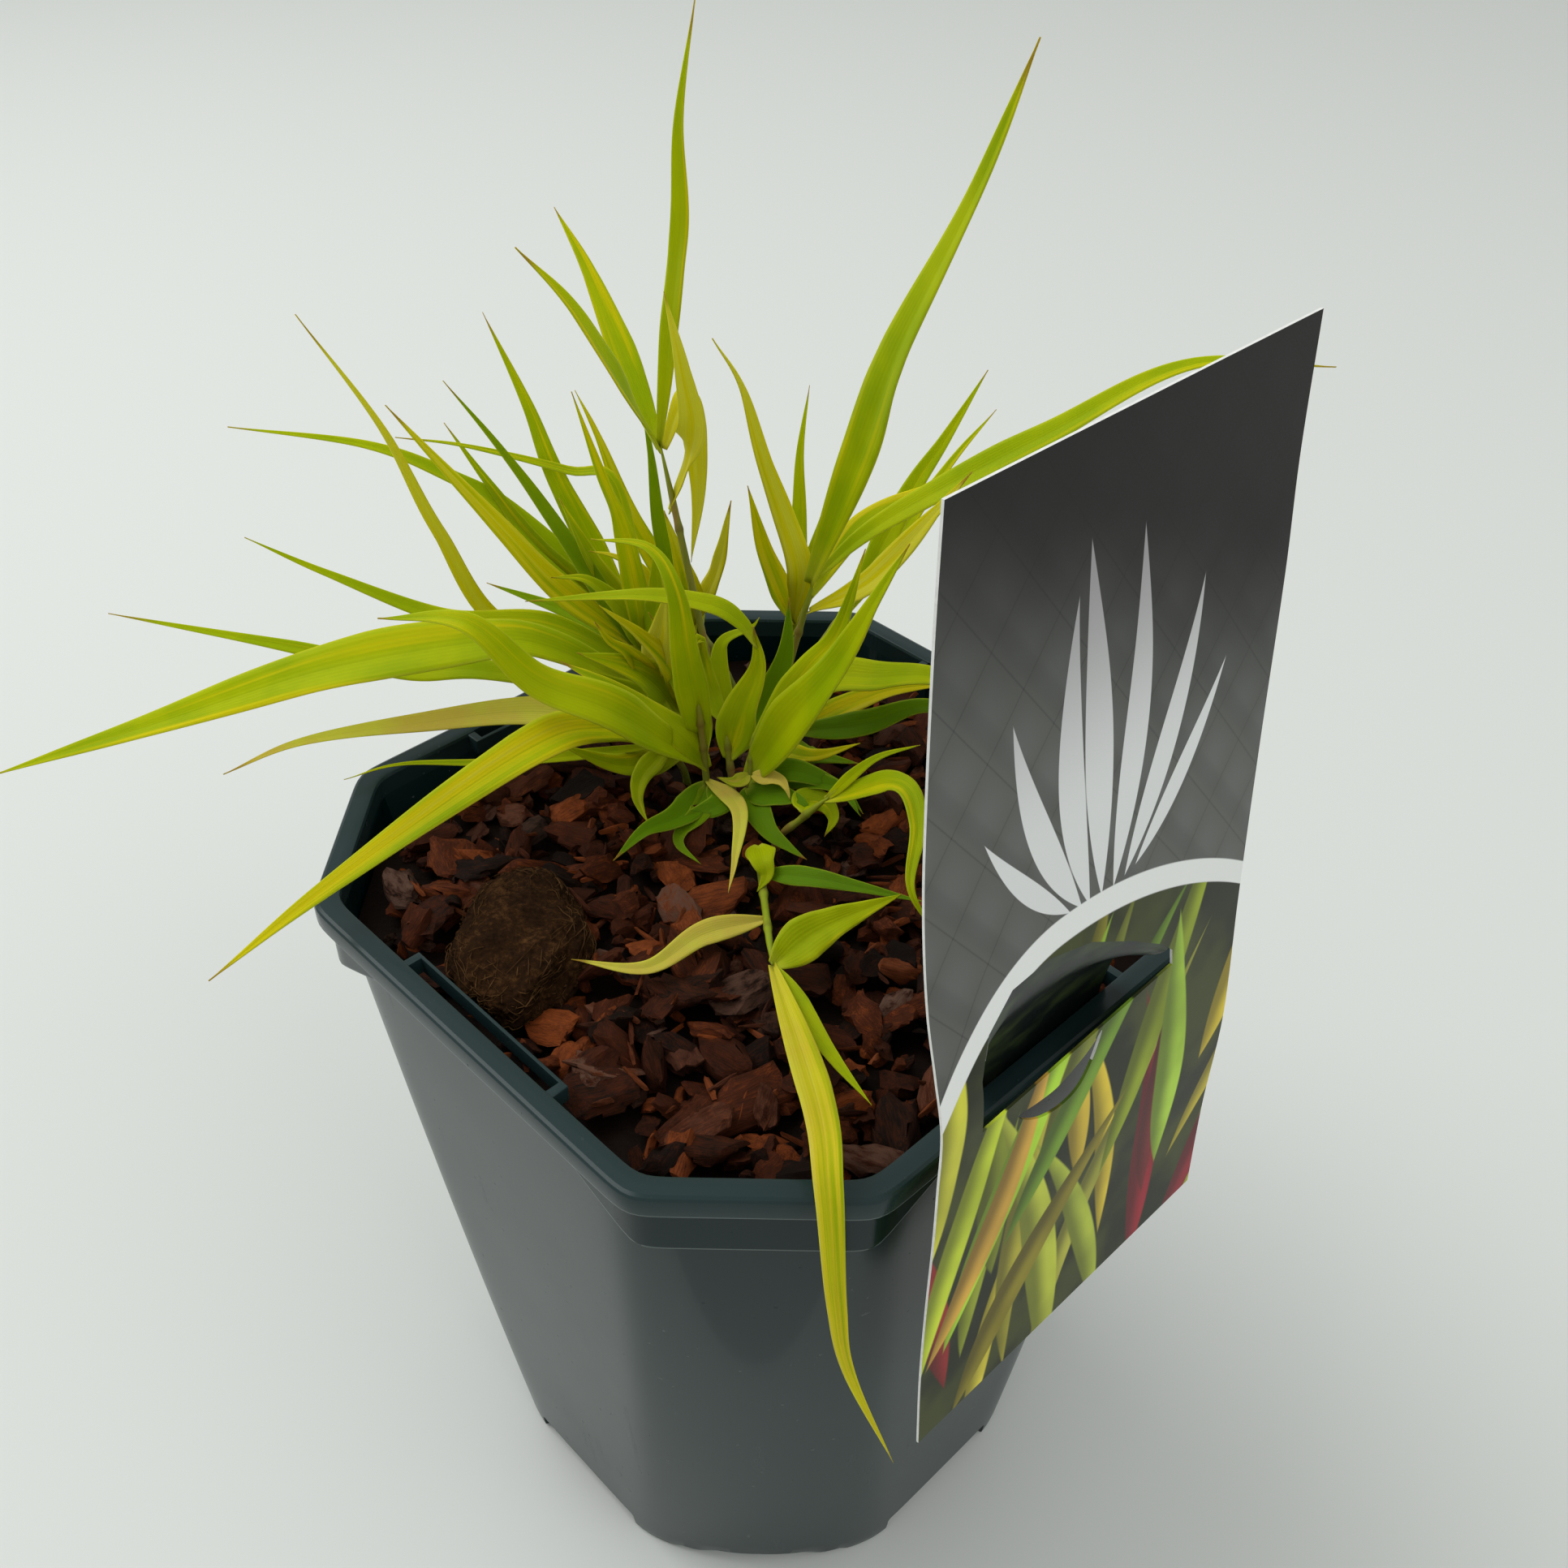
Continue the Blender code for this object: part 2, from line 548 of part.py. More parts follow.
def make_card():
    card = card_sheet("care_card", CARD_CURVE, CARD_TOP_SPAN, CARD_BOTTOM_SPAN, 6, 16, part)
    for name, outline in (("rim_window", WINDOW), ("crescent_slit", CRESCENT)):
        cutter = card_cutter(outline, name)
        add_boolean(card, cutter, "DIFFERENCE")
        apply_modifiers(card)
        bpy.data.objects.remove(cutter)
    tongue = card_sheet("tongue", TONGUE_CURVE, TONGUE_TOP_SPAN, TONGUE_BOTTOM_SPAN, 4, 7, cutters)
    add_boolean(card, tongue, "UNION")
    apply_modifiers(card)
    bpy.data.objects.remove(tongue)
    return card


# Leafy stems

def path_point(points, step):
    """A point on the smooth curve through the points, at a step from 0 to 1 along it."""
    lengths = [(b - a).length for a, b in zip(points, points[1:])]
    target = step * sum(lengths)
    i = 0
    while i < len(lengths) - 1 and target > lengths[i]:
        target -= lengths[i]
        i += 1
    t = min(1.0, target / lengths[i])
    b, c = points[i], points[i + 1]
    a = points[i - 1] if i > 0 else b * 2 - c
    d = points[i + 2] if i + 2 < len(points) else c * 2 - b
    return 0.5 * (2 * b + (c - a) * t + (2 * a - 5 * b + 4 * c - d) * t * t + (3 * b - a - 3 * c + d) * t ** 3)


def blade_width(step):
    """Share of the full width: narrow at the culm, widest a third of the way, long taper to the tip."""
    widest = 0.36
    if step < widest:
        return 0.3 + 0.7 * math.sin(step / widest * math.pi / 2)
    return max(0.09, 1 - ((step - widest) / (1 - widest)) ** 2.1)


def make_blade(width, roll, points, collection):
    points = [Vector(point) * MM for point in points]
    bm = bmesh.new()
    bmesh.ops.create_grid(bm, x_segments=2, y_segments=BLADE_ROWS, size=0.5)
    for vert in bm.verts:
        side, step = vert.co.x * 2, vert.co.y + 0.5
        here = path_point(points, step)
        ahead, behind = path_point(points, min(1, step + 0.02)), path_point(points, max(0, step - 0.02))
        tangent = (ahead - behind).normalized()
        across = tangent.cross(CAMERA_SIDE).normalized()
        across.rotate(Matrix.Rotation(math.radians(roll), 3, tangent))
        face = across.cross(tangent)
        half = width * MM / 2 * blade_width(step)
        vert.co = here + across * side * half + face * abs(side) * half * BLADE_FOLD * 2
    bmesh.ops.triangulate(bm, faces=bm.faces)
    blade = object_from_bmesh(bm, "blade", collection)
    thick = blade.modifiers.new("thickness", "SOLIDIFY")
    thick.thickness = BLADE_THICKNESS
    thick.offset = 0
    apply_modifiers(blade)
    return blade


def make_culm(name, foot, head):
    base = Vector((*foot, 0)) * MM
    points = [base + Vector((0, 0, STEM_FOOT)), base + Vector((0, 0, MULCH_TOP + 2.5 * MM)),
              base.lerp(Vector(head) * MM, 0.45) + Vector((0, 0, (MULCH_TOP + 4 * MM) * 0.55)),
              Vector(head) * MM]
    curve = bpy.data.curves.new(name, "CURVE")
    curve.dimensions = "3D"
    curve.bevel_depth = CULM_RADIUS
    curve.bevel_resolution = 1
    curve.use_fill_caps = True
    spline = curve.splines.new("POLY")
    steps = 6
    route = [points[0]] + [path_point(points[1:], i / steps) for i in range(steps + 1)]
    spline.points.add(len(route) - 1)
    for target, point in zip(spline.points, route):
        target.co = (*point, 1)
    obj = bpy.data.objects.new(name + "_curve", curve)
    part.objects.link(obj)
    graph = bpy.context.evaluated_depsgraph_get()
    mesh = bpy.data.meshes.new_from_object(obj.evaluated_get(graph))
    bpy.data.objects.remove(obj)
    bm = bmesh.new()
    bm.from_mesh(mesh)
    bpy.data.meshes.remove(mesh)
    bmesh.ops.remove_doubles(bm, verts=bm.verts, dist=0.00001)
    bmesh.ops.recalc_face_normals(bm, faces=bm.faces)
    return object_from_bmesh(bm, name, part, "leaf")


def make_stem(name, foot, head, blades):
    stem = make_culm(name, foot, head)
    leaves = new_collection("leaves")
    for width, roll, points in blades:
        make_blade(width, roll, points, leaves)
    add_boolean(stem, leaves, "UNION", "MANIFOLD")
    apply_modifiers(stem)
    for leaf in list(leaves.objects):
        bpy.data.objects.remove(leaf)
    bpy.data.collections.remove(leaves)
    keep_largest_piece(stem)
    return stem


clear_scene()
part = new_collection("japanese_forest_grass")
cutters = new_collection("cutters")
make_pot()
make_soil()
make_mulch()
make_clod()
make_card()
for stem_name, (stem_foot, stem_head, stem_blades) in STEMS.items():
    make_stem(stem_name, stem_foot, stem_head, stem_blades)
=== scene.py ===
import math
import random
import bpy
from mathutils import Matrix, Vector, noise


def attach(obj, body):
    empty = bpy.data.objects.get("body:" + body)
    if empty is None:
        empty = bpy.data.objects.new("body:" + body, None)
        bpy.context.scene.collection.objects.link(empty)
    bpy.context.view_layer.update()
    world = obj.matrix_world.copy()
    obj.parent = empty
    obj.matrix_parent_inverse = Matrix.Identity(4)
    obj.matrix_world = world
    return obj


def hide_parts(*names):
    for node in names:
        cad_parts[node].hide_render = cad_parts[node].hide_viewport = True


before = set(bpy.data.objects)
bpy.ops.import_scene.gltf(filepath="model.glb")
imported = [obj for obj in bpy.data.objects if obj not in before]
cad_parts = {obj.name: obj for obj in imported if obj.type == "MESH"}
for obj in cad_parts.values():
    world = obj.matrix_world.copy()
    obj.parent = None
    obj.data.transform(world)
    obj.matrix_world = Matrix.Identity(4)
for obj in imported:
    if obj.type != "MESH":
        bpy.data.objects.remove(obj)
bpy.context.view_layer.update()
mm = 0.001
seamGap = 0.01 * mm  # points closer than this are one
offTube = Vector((0.31, 0.9, 0.17))  # a direction that no tube follows
leanRight = Vector((1, 1, 0)).normalized()  # runs along the care card, to its right
leanOut = Vector((1, -1, 0)).normalized()  # points away from the pot, through the card
print("frame loaded,", len(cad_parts), "nodes")


# making and joining meshes

def pickOnly(*pieces):
    bpy.ops.object.select_all(action="DESELECT")
    for piece in pieces:
        piece.select_set(True)
    bpy.context.view_layer.objects.active = pieces[0]


def bentGrid(name, columns, rows, place):
    # a flat grid whose points are moved to place(across, along), both from 0 to 1
    bpy.ops.object.select_all(action="DESELECT")
    bpy.ops.mesh.primitive_grid_add(x_subdivisions=columns, y_subdivisions=rows, size=1)
    piece = bpy.context.object
    piece.name = name
    for point in piece.data.vertices:
        point.co = place(point.co.x + 0.5, point.co.y + 0.5)
    return piece


def closeSeams(piece):
    pickOnly(piece)
    bpy.ops.object.mode_set(mode="EDIT")
    bpy.ops.mesh.select_all(action="SELECT")
    bpy.ops.mesh.remove_doubles(threshold=seamGap)
    bpy.ops.mesh.normals_make_consistent(inside=False)
    bpy.ops.object.mode_set(mode="OBJECT")


def applyModifier(piece, kind, **settings):
    pickOnly(piece)
    step = piece.modifiers.new(kind.lower(), kind)
    for key, value in settings.items():
        setattr(step, key, value)
    bpy.ops.object.modifier_apply(modifier=step.name)


def joinAll(name, parts):
    pickOnly(*parts)
    if len(parts) > 1:
        bpy.ops.object.join()
    piece = bpy.context.object
    piece.name = name
    piece.data.name = name
    return piece


def bentTube(name, around, rows, route, girth):
    # a tube along route(0 to 1), which closes where girth is zero
    def place(across, along):
        heading = (route(min(1, along + 0.01)) - route(max(0, along - 0.01))).normalized()
        sideways = heading.cross(offTube).normalized()
        turn = across * math.tau
        outward = sideways * math.cos(turn) + heading.cross(sideways) * math.sin(turn)
        return route(along) + outward * girth(along)

    tube = bentGrid(name, around, rows, place)
    closeSeams(tube)
    return tube


def block(name, low, high, turn):
    # a box between two corners, then turned round the pot's axis
    bpy.ops.object.select_all(action="DESELECT")
    bpy.ops.mesh.primitive_cube_add(size=1)
    piece = bpy.context.object
    piece.name = name
    low, high = Vector(low), Vector(high)
    size = Matrix.Diagonal((*(high - low), 1))
    piece.data.transform(Matrix.Rotation(turn, 4, "Z") @ Matrix.Translation((low + high) / 2) @ size)
    return piece


def mark(piece, name, value):
    # one vector, or one for each point, that a material reads
    told = piece.data.attributes.new(name, "FLOAT_VECTOR", "POINT")
    count = len(piece.data.vertices)
    values = [tuple(value)] * count if len(value) == 3 and not hasattr(value[0], "__len__") else value
    told.data.foreach_set("vector", [number for item in values for number in item])


def finishPiece(piece, paint, slotName, *nodes, sharp=None):
    if not piece.data.materials:
        piece.data.materials.append(paint)
    pickOnly(piece)
    if sharp:
        bpy.ops.object.shade_smooth_by_angle(angle=math.radians(sharp))
    else:
        bpy.ops.object.shade_smooth()
    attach(piece, "root")
    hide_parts(*nodes)
    print(piece.name, "made,", len(piece.data.polygons), "faces")
    return piece


# materials: a socket that takes part in sums, and a maker of nodes

class Socket:
    def __init__(self, paint, plug):
        self.paint, self.plug = paint, plug

    def maths(self, operation, first, second=None):
        values = {0: first} if second is None else {0: first, 1: second}
        return self.paint.node("Math", {"operation": operation}, values)

    def __add__(self, other):
        return self.maths("ADD", self, other)

    def __radd__(self, other):
        return self.maths("ADD", other, self)

    def __sub__(self, other):
        return self.maths("SUBTRACT", self, other)

    def __rsub__(self, other):
        return self.maths("SUBTRACT", other, self)

    def __mul__(self, other):
        return self.maths("MULTIPLY", self, other)

    def __rmul__(self, other):
        return self.maths("MULTIPLY", other, self)

    def __truediv__(self, other):
        return self.maths("DIVIDE", self, other)

    def __pow__(self, other):
        return self.maths("POWER", self, other)

    def __abs__(self):
        return self.maths("ABSOLUTE", self)

    def __gt__(self, other):
        return self.maths("GREATER_THAN", self, other)

    def __lt__(self, other):
        return self.maths("LESS_THAN", self, other)


def shade(red, green, blue):
    # a colour as it is seen on screen, 0 to 255, for a shader
    def linear(level):
        return level / 255 / 12.92 if level < 11 else ((level / 255 + 0.055) / 1.055) ** 2.4

    return (linear(red), linear(green), linear(blue), 1)


class Paint:
    def __init__(self, name, constants):
        self.material = bpy.data.materials.new(name)
        self.material.use_nodes = True
        self.tree = self.material.node_tree
        self.surface = self.tree.nodes["Principled BSDF"]
        for key, value in constants.items():
            self.surface.inputs[key].default_value = value

    def feed(self, target, value):
        if isinstance(value, Socket):
            self.tree.links.new(value.plug, target)
        else:
            target.default_value = value

    def node(self, kind, settings=None, values=None, output=0):
        made = self.tree.nodes.new("ShaderNode" + kind)
        for key, value in (settings or {}).items():
            if key == "stops":
                while len(made.color_ramp.elements) < len(value):
                    made.color_ramp.elements.new(0.5)
                for stop, (place, colour) in zip(made.color_ramp.elements, value):
                    stop.position, stop.color = place, colour
            else:
                setattr(made, key, value)
        for key, value in (values or {}).items():
            self.feed(made.inputs[key], value)
        return Socket(self, made.outputs[output])

    def mix(self, factor, first, second):
        return self.node("Mix", {"data_type": "RGBA"}, {0: factor, 6: first, 7: second}, 2)

    def soft(self, value, low, high):
        return self.node("MapRange", {"interpolation_type": "SMOOTHSTEP"}, {0: value, 1: low, 2: high})

    def ramp(self, value, stops):
        return self.node("ValToRGB", {"stops": stops}, {0: value})

    def larger(self, first, second):
        return self.node("Math", {"operation": "MAXIMUM"}, {0: first, 1: second})

    def joined(self, x, y, z):
        return self.node("CombineXYZ", {}, {0: x, 1: y, 2: z})

    def sine(self, value):
        return self.node("Math", {"operation": "SINE"}, {0: value})

    def grain(self, where, scale, detail=3.0, roughness=0.55):
        values = {"Vector": where, "Scale": scale, "Detail": detail, "Roughness": roughness}
        return self.node("TexNoise", {}, values)

    def stretched(self, where, x, y, z):
        return self.node("VectorMath", {"operation": "MULTIPLY"}, {0: where, 1: (x, y, z)})

    def split(self, where):
        return [self.node("SeparateXYZ", {}, {0: where}, axis) for axis in range(3)]

    def place(self):
        return self.node("TexCoord", {}, {}, 3)  # object coordinates, in metres

    def told(self, name):
        return self.node("Attribute", {"attribute_name": name}, {}, 1)

    def dress(self, colour, roughness=None, height=None, strength=0.3, depth=0.3 * mm):
        self.feed(self.surface.inputs["Base Color"], colour)
        if roughness is not None:
            self.feed(self.surface.inputs["Roughness"], roughness)
        if height is not None:
            bump = self.node("Bump", {}, {"Strength": strength, "Distance": depth, "Height": height})
            self.feed(self.surface.inputs["Normal"], bump)
        return self.material


# camera, floor and light

studio = {
    "cameraPlace": (0.0062, -0.2700, 0.4228),
    "heading": -0.0094, "dip": 0.6748, "roll": 0.0099,  # radians
    "lens": 36.45, "sensor": 36, "clipStart": 0.01,
    "floorSize": 14, "floorDrop": 0.2 * mm, "floorColour": (214, 217, 214),
    "worldColour": (0.985, 1.0, 0.975, 1), "worldStrength": 0.62,
    "lights": [((-1.1, 0.5, 1.9), 1.6, 26), ((1.2, -0.9, 1.5), 1.4, 7)],  # place, size and power
    "lightAim": (0, 0, 0.15),
}


def setCamera():
    heading, dip, roll = studio["heading"], studio["dip"], studio["roll"]
    forward = Vector((math.sin(heading) * math.cos(dip), math.cos(heading) * math.cos(dip), -math.sin(dip)))
    right = Vector((math.cos(heading), -math.sin(heading), 0))
    up = right.cross(forward)
    across = right * math.cos(roll) + up * math.sin(roll)
    upward = up * math.cos(roll) - right * math.sin(roll)
    turned = Matrix((across, upward, -forward)).transposed().to_4x4()
    bpy.ops.object.select_all(action="DESELECT")
    bpy.ops.object.camera_add()
    camera = bpy.context.object
    camera.matrix_world = Matrix.Translation(studio["cameraPlace"]) @ turned
    camera.data.sensor_width = studio["sensor"]
    camera.data.lens = studio["lens"]
    camera.data.clip_start = studio["clipStart"]
    bpy.context.scene.camera = camera


def setFloor():
    bpy.ops.mesh.primitive_plane_add(size=studio["floorSize"], location=(0, 0, -studio["floorDrop"]))
    floor = bpy.context.object
    floor.name = "studioFloor"
    paint = Paint("studioFloor", {"Specular IOR Level": 0.25, "Roughness": 0.7})
    floor.data.materials.append(paint.dress(shade(*studio["floorColour"])))


def setLights():
    for place, size, energy in studio["lights"]:
        bpy.ops.object.light_add(type="AREA", location=place)
        lamp = bpy.context.object
        lamp.data.size = size
        lamp.data.energy = energy
        lamp.rotation_euler = (Vector(studio["lightAim"]) - Vector(place)).to_track_quat("-Z", "Y").to_euler()
    world = bpy.data.worlds.new("studio")
    world.use_nodes = True
    world.node_tree.nodes["Background"].inputs[0].default_value = studio["worldColour"]
    world.node_tree.nodes["Background"].inputs[1].default_value = studio["worldStrength"]
    bpy.context.scene.world = world
    bpy.context.scene.view_settings.view_transform = "Standard"  # colours come out as they are set


setCamera()
setFloor()
setLights()
print("studio set")


# pot

pot = {
    "height": 190 * mm, "side": 85 * mm, "chamfer": 97.3 * mm, "base": 71 * mm,
    "wall": 1.5 * mm, "floor": 2 * mm,
    "coneSlope": 0.1262, "coneBulge": 0.0001 / mm, "bulgeHeight": 117 * mm,
    "facetSlope": 0.08, "sideSlope": 0.077, "footFlat": 67.2 * mm, "footSlope": 0.75,
    "cornerPower": 80, "sidePower": 90, "creasePower": 500, "around": 360, "bodyRows": 56,
    "collarBottom": 172 * mm, "bandBottom": 184.7 * mm, "collarFade": 30 * mm, "collarBlend": 3 * mm,
    "edgeStep": 0.6 * mm, "chamferHalf": 13.5,  # collar to band; half a chamfer's arc, degrees
    "bodyInset": 7.1 * mm, "sideInset": 4.2 * mm, "collarInset": 2.4 * mm, "rimWidth": 5.5 * mm,
    # rows of the profile: height and distance from the edge that they round, in millimetres
    "footRows": [(0.6, 8), (0, 6), (0, 1.2), (0.25, 0.4), (0.9, 0)],
    "lipRows": [(0.04, 0.3), (0.2, 0.05), (0.4, 0), (0.7, 0)], "collarRows": (0.4, 0.9),
    "bandRows": [(0.05, 0.25), (0.25, 0.05), (0.6, 0)],
    "rimRows": [(1.5, 0), (0.8, 0.12), (0.3, 0.45), (0, 1.1), (0, 3), (0, 4.7), (0.2, 5.2), (0.8, 5.5)],
    "insideRows": (186, 182, 177, 174, 172.6, 172.4, 160, 140, 110, 80, 50, 20, 4),
    "notchHeight": 6 * mm, "notchAngle": 31, "notchReach": 15 * mm, "notchRound": 1.2 * mm,
    "loopLength": 50 * mm, "loopDepth": 4 * mm, "loopOuter": 75.8 * mm, "loopBar": 0.85 * mm,
    "loopDrop": 0.4 * mm, "slotRelief": 0.4 * mm, "loopRound": 0.35 * mm,
    "loopEnd": 2 * mm, "overlap": 1 * mm,
    # flat is the colour of the painted shade on the arched flats
    "colour": (20, 40, 40), "worn": (30, 48, 48), "flat": (0, 28, 29), "rim": (32, 49, 50),
    # edge is the colour of the painted highlight on the collar's and the band's lower edges
    "edge": (104, 116, 114), "dust": (140, 146, 144), "roughness": 0.17, "lineWidth": 0.34 * mm,
}


def octagon(angle, side, chamfer):
    total = 0.0
    for face in range(8):
        facing = math.cos(angle - face * math.pi / 4)
        if facing > 0:
            total += (facing / (chamfer if face % 2 == 0 else side)) ** pot["cornerPower"]
    return total ** (-1 / pot["cornerPower"])


def rimRadius(angle, inset):
    return octagon(angle, pot["side"] - inset, pot["chamfer"] - inset)


def facetDistance(angle, first, distance):
    # distance to the flats that face every quarter turn from an angle
    off = (angle - first + math.pi / 4) % (math.pi / 2) - math.pi / 4
    return distance / math.cos(off)


def bodyRadius(angle, z):
    # a cone whose long sides blend in softly, while the chamfers cut it with a crisp, arched edge
    below = pot["collarBottom"] - z
    cone = pot["base"] + pot["coneSlope"] * z - pot["coneBulge"] * z * (z - pot["bulgeHeight"])
    side = facetDistance(angle, math.pi / 4, pot["side"] - pot["sideInset"] - below * pot["sideSlope"])
    chamfer = facetDistance(angle, 0, pot["chamfer"] - pot["bodyInset"] - below * pot["facetSlope"])
    soft = ((side / cone) ** -pot["sidePower"] + 1) ** (-1 / pot["sidePower"]) * cone
    # also cut at the foot
    flat = min(chamfer, facetDistance(angle, 0, pot["footFlat"] + z * pot["footSlope"]))
    return ((flat / soft) ** -pot["creasePower"] + 1) ** (-1 / pot["creasePower"]) * soft


def collarEdge(angle):
    # the collar's lower edge runs level on the chamfers and rises to the band along the long sides
    fromCorner = abs((math.degrees(angle) - 45) % 90 - 45)  # degrees from the middle of the nearest chamfer
    along = pot["side"] * math.tan(math.radians(45 - fromCorner))
    beyond = pot["side"] * math.tan(math.radians(45 - pot["chamferHalf"])) - along
    share = min(1, max(0, beyond / pot["collarFade"]))
    return pot["collarBottom"] + (pot["bandBottom"] - pot["edgeStep"] - pot["collarBottom"]) * share


def collarRadius(angle, z):
    edge = collarEdge(angle)
    here = min(1, (pot["bandBottom"] - pot["edgeStep"] - edge) / pot["collarBlend"])
    plain = bodyRadius(angle, z)
    return plain + max(0, rimRadius(angle, pot["collarInset"]) - plain) * here


def innerRadius(angle, z):
    # the wall's inner face, which steps out behind the collar
    outer = bodyRadius(angle, z)
    if z <= pot["collarBottom"] + 0.5 * mm:
        return outer - pot["wall"]
    if collarEdge(angle) < z:
        outer = max(outer, rimRadius(angle, pot["collarInset"]))
    return min(outer - pot["wall"], rimRadius(angle, pot["rimWidth"]))


def footRow(rise, inset):
    return rise * mm, lambda angle: bodyRadius(angle, 0) - inset * mm


def bodyRow(share):
    return lambda angle: collarEdge(angle) * share, lambda angle: bodyRadius(angle, collarEdge(angle) * share)


def lipRow(rise, back):
    def height(angle):
        return collarEdge(angle) + rise * mm

    def radius(angle):
        return max(bodyRadius(angle, collarEdge(angle)), collarRadius(angle, height(angle)) - back * mm)

    return height, radius


def collarRow(share):
    def height(angle):
        lip = collarEdge(angle)
        lipTop = pot["lipRows"][-1][0] * mm
        return lip + lipTop + (pot["bandBottom"] - lipTop - lip) * share

    return height, lambda angle: collarRadius(angle, pot["bandBottom"])


def rimRow(z, inset):
    return z, lambda angle: rimRadius(angle, inset * mm)


def insideRow(z):
    return z * mm, lambda angle: innerRadius(angle, z * mm)


def potProfile():
    # pairs of height and a function of angle, from under the base, up the outside and down the inside
    top, band, floor, last = pot["height"], pot["bandBottom"], pot["floor"], pot["bodyRows"]
    rows = [(pot["footRows"][0][0] * mm, lambda angle: 0)]
    rows += [footRow(rise, inset) for rise, inset in pot["footRows"]]
    rows += [bodyRow(step / last) for step in range(1, last + 1)]
    rows += [lipRow(rise, back) for rise, back in pot["lipRows"]]
    rows += [collarRow(share) for share in pot["collarRows"]]
    rows += [(band, lambda angle: collarRadius(angle, band))]
    rows += [rimRow(band + rise * mm, inset) for rise, inset in pot["bandRows"]]
    rows += [rimRow(top - drop * mm, inset) for drop, inset in pot["rimRows"]]
    rows += [insideRow(z) for z in pot["insideRows"]]
    rows += [(floor, lambda angle: innerRadius(angle, floor) - floor), (floor, lambda angle: 0)]
    return rows


def highlightLines(paint, x, y, z, facing):
    # painted highlights along the collar's and the band's lower edges, where their rounded edges catch the light;
    # the lines rise as in collarEdge
    along = abs(x - y) * 0.728
    rise = (pot["side"] * math.tan(math.radians(45 - pot["chamferHalf"])) - along) / pot["collarFade"]
    rise = paint.node("Clamp", {}, {0: rise}) * (pot["bandBottom"] - pot["collarBottom"] - pot["edgeStep"])
    outside = paint.larger(facing - pot["chamfer"], (x + y) * 0.7071 - pot["side"])
    wide, narrow = pot["lineWidth"], 0.1 * mm
    lines = (paint.soft(abs(z - rise - pot["collarBottom"] - 0.35 * mm), wide, narrow)
             + paint.soft(abs(z - pot["bandBottom"] - 0.35 * mm), wide, narrow))
    return lines * (outside > -3 * mm)


def potPaint():
    paint = Paint("slatePlastic", {"Specular IOR Level": 0.23})
    where = paint.place()
    patches = paint.grain(where, 22, 4)
    fine = paint.grain(where, 900, 2)
    streaks = paint.grain(paint.stretched(where, 240, 240, 9), 1, 4)
    scuffs = paint.soft(streaks, 0.6, 0.78) * paint.soft(patches, 0.4, 0.7)
    specks = paint.soft(paint.grain(where, 520, 1), 0.74, 0.79)
    colour = paint.mix(patches * 0.35, shade(*pot["colour"]), shade(*pot["worn"]))
    colour = paint.mix(scuffs * 0.1 + specks * 0.25, colour, shade(*pot["dust"]))
    x, y, z = paint.split(where)
    x, y = abs(x), abs(y)
    facing = paint.larger(x, y)
    flatAt = pot["chamfer"] - pot["bodyInset"] - pot["collarBottom"] * pot["facetSlope"]
    shadedFlats = paint.soft(facing - flatAt - z * pot["facetSlope"], -0.16 * mm, -0.05 * mm)  # the arched flats, painted darker as painted shade
    # painted shade: the arched flats are darker than the cone beside them
    colour = paint.mix(shadedFlats, colour, shade(*pot["flat"]))
    # painted light: the rim above the band is painted lighter than the body
    colour = paint.mix(z > pot["bandBottom"], colour, shade(*pot["rim"]))
    # painted highlight: the collar's and the band's lower edges are lightened towards the edge colour
    colour = paint.mix(highlightLines(paint, x, y, z, facing) * 0.5, colour, shade(*pot["edge"]))
    roughness = pot["roughness"] + patches * 0.12 + scuffs * 0.15 + specks * 0.2
    return paint.dress(colour, roughness, fine * 0.5 + streaks * 0.5, 0.08, 0.15 * mm)


def potBody():
    rows = potProfile()

    def place(across, along):
        z, radius = rows[round(along * (len(rows) - 1))]
        turn = across * math.tau
        z = z(turn) if callable(z) else z
        return Vector((radius(turn) * math.cos(turn), radius(turn) * math.sin(turn), z))

    body = bentGrid("slatePot", pot["around"], len(rows) - 1, place)
    closeSeams(body)
    return body


def hookingBar(turn):
    # a thin bar inside the rim, which a card can hook into
    half, top = pot["loopLength"] / 2, pot["height"] - pot["loopDrop"]
    inside = pot["side"] - pot["rimWidth"]
    bar = block("loopBar", (pot["loopOuter"], -half, top - pot["loopDepth"]),
                (inside + pot["overlap"], half, top), turn)
    applyModifier(bar, "BEVEL", width=pot["loopRound"], segments=3)
    return bar


def slotCutter(turn):
    half, depth = pot["loopLength"] / 2 - pot["loopEnd"], pot["loopDepth"]
    inside = pot["side"] - pot["rimWidth"]
    low = (pot["loopOuter"] + pot["loopBar"], -half, pot["height"] - 3 * depth)
    return block("slotCutter", low, (inside + pot["slotRelief"], half, pot["height"] + depth), turn)


def notchCutter(turn):
    reach = math.tan(math.radians(pot["notchAngle"] / 2)) * pot["base"]
    notch = block("notchCutter", (pot["base"] - pot["notchReach"], -reach, -pot["overlap"]),
                  (pot["base"] + 10 * mm, reach, pot["notchHeight"]), turn)
    applyModifier(notch, "BEVEL", width=pot["notchRound"], segments=3)
    return notch


def makePot():
    body, bars, cutters = potBody(), [], []
    for quarter in range(4):
        turn = math.radians(45 + 90 * quarter)
        bars.append(hookingBar(turn))
        cutters += [slotCutter(turn), notchCutter(turn)]
    for name, parts, operation in (("loopBars", bars, "UNION"), ("cutters", cutters, "DIFFERENCE")):
        tool = joinAll(name, parts)
        applyModifier(body, "BOOLEAN", object=tool, operation=operation, solver="EXACT")
        bpy.data.objects.remove(tool)
    return finishPiece(body, potPaint(), "pot_plastic", "pot", sharp=22)


makePot()


# potting soil, under the mulch

soil = {"top": 173.6 * mm, "gap": 0.3 * mm, "around": 96, "rows": 14,
        "dark": (22, 15, 11), "mid": (48, 33, 23), "pale": (86, 62, 42)}


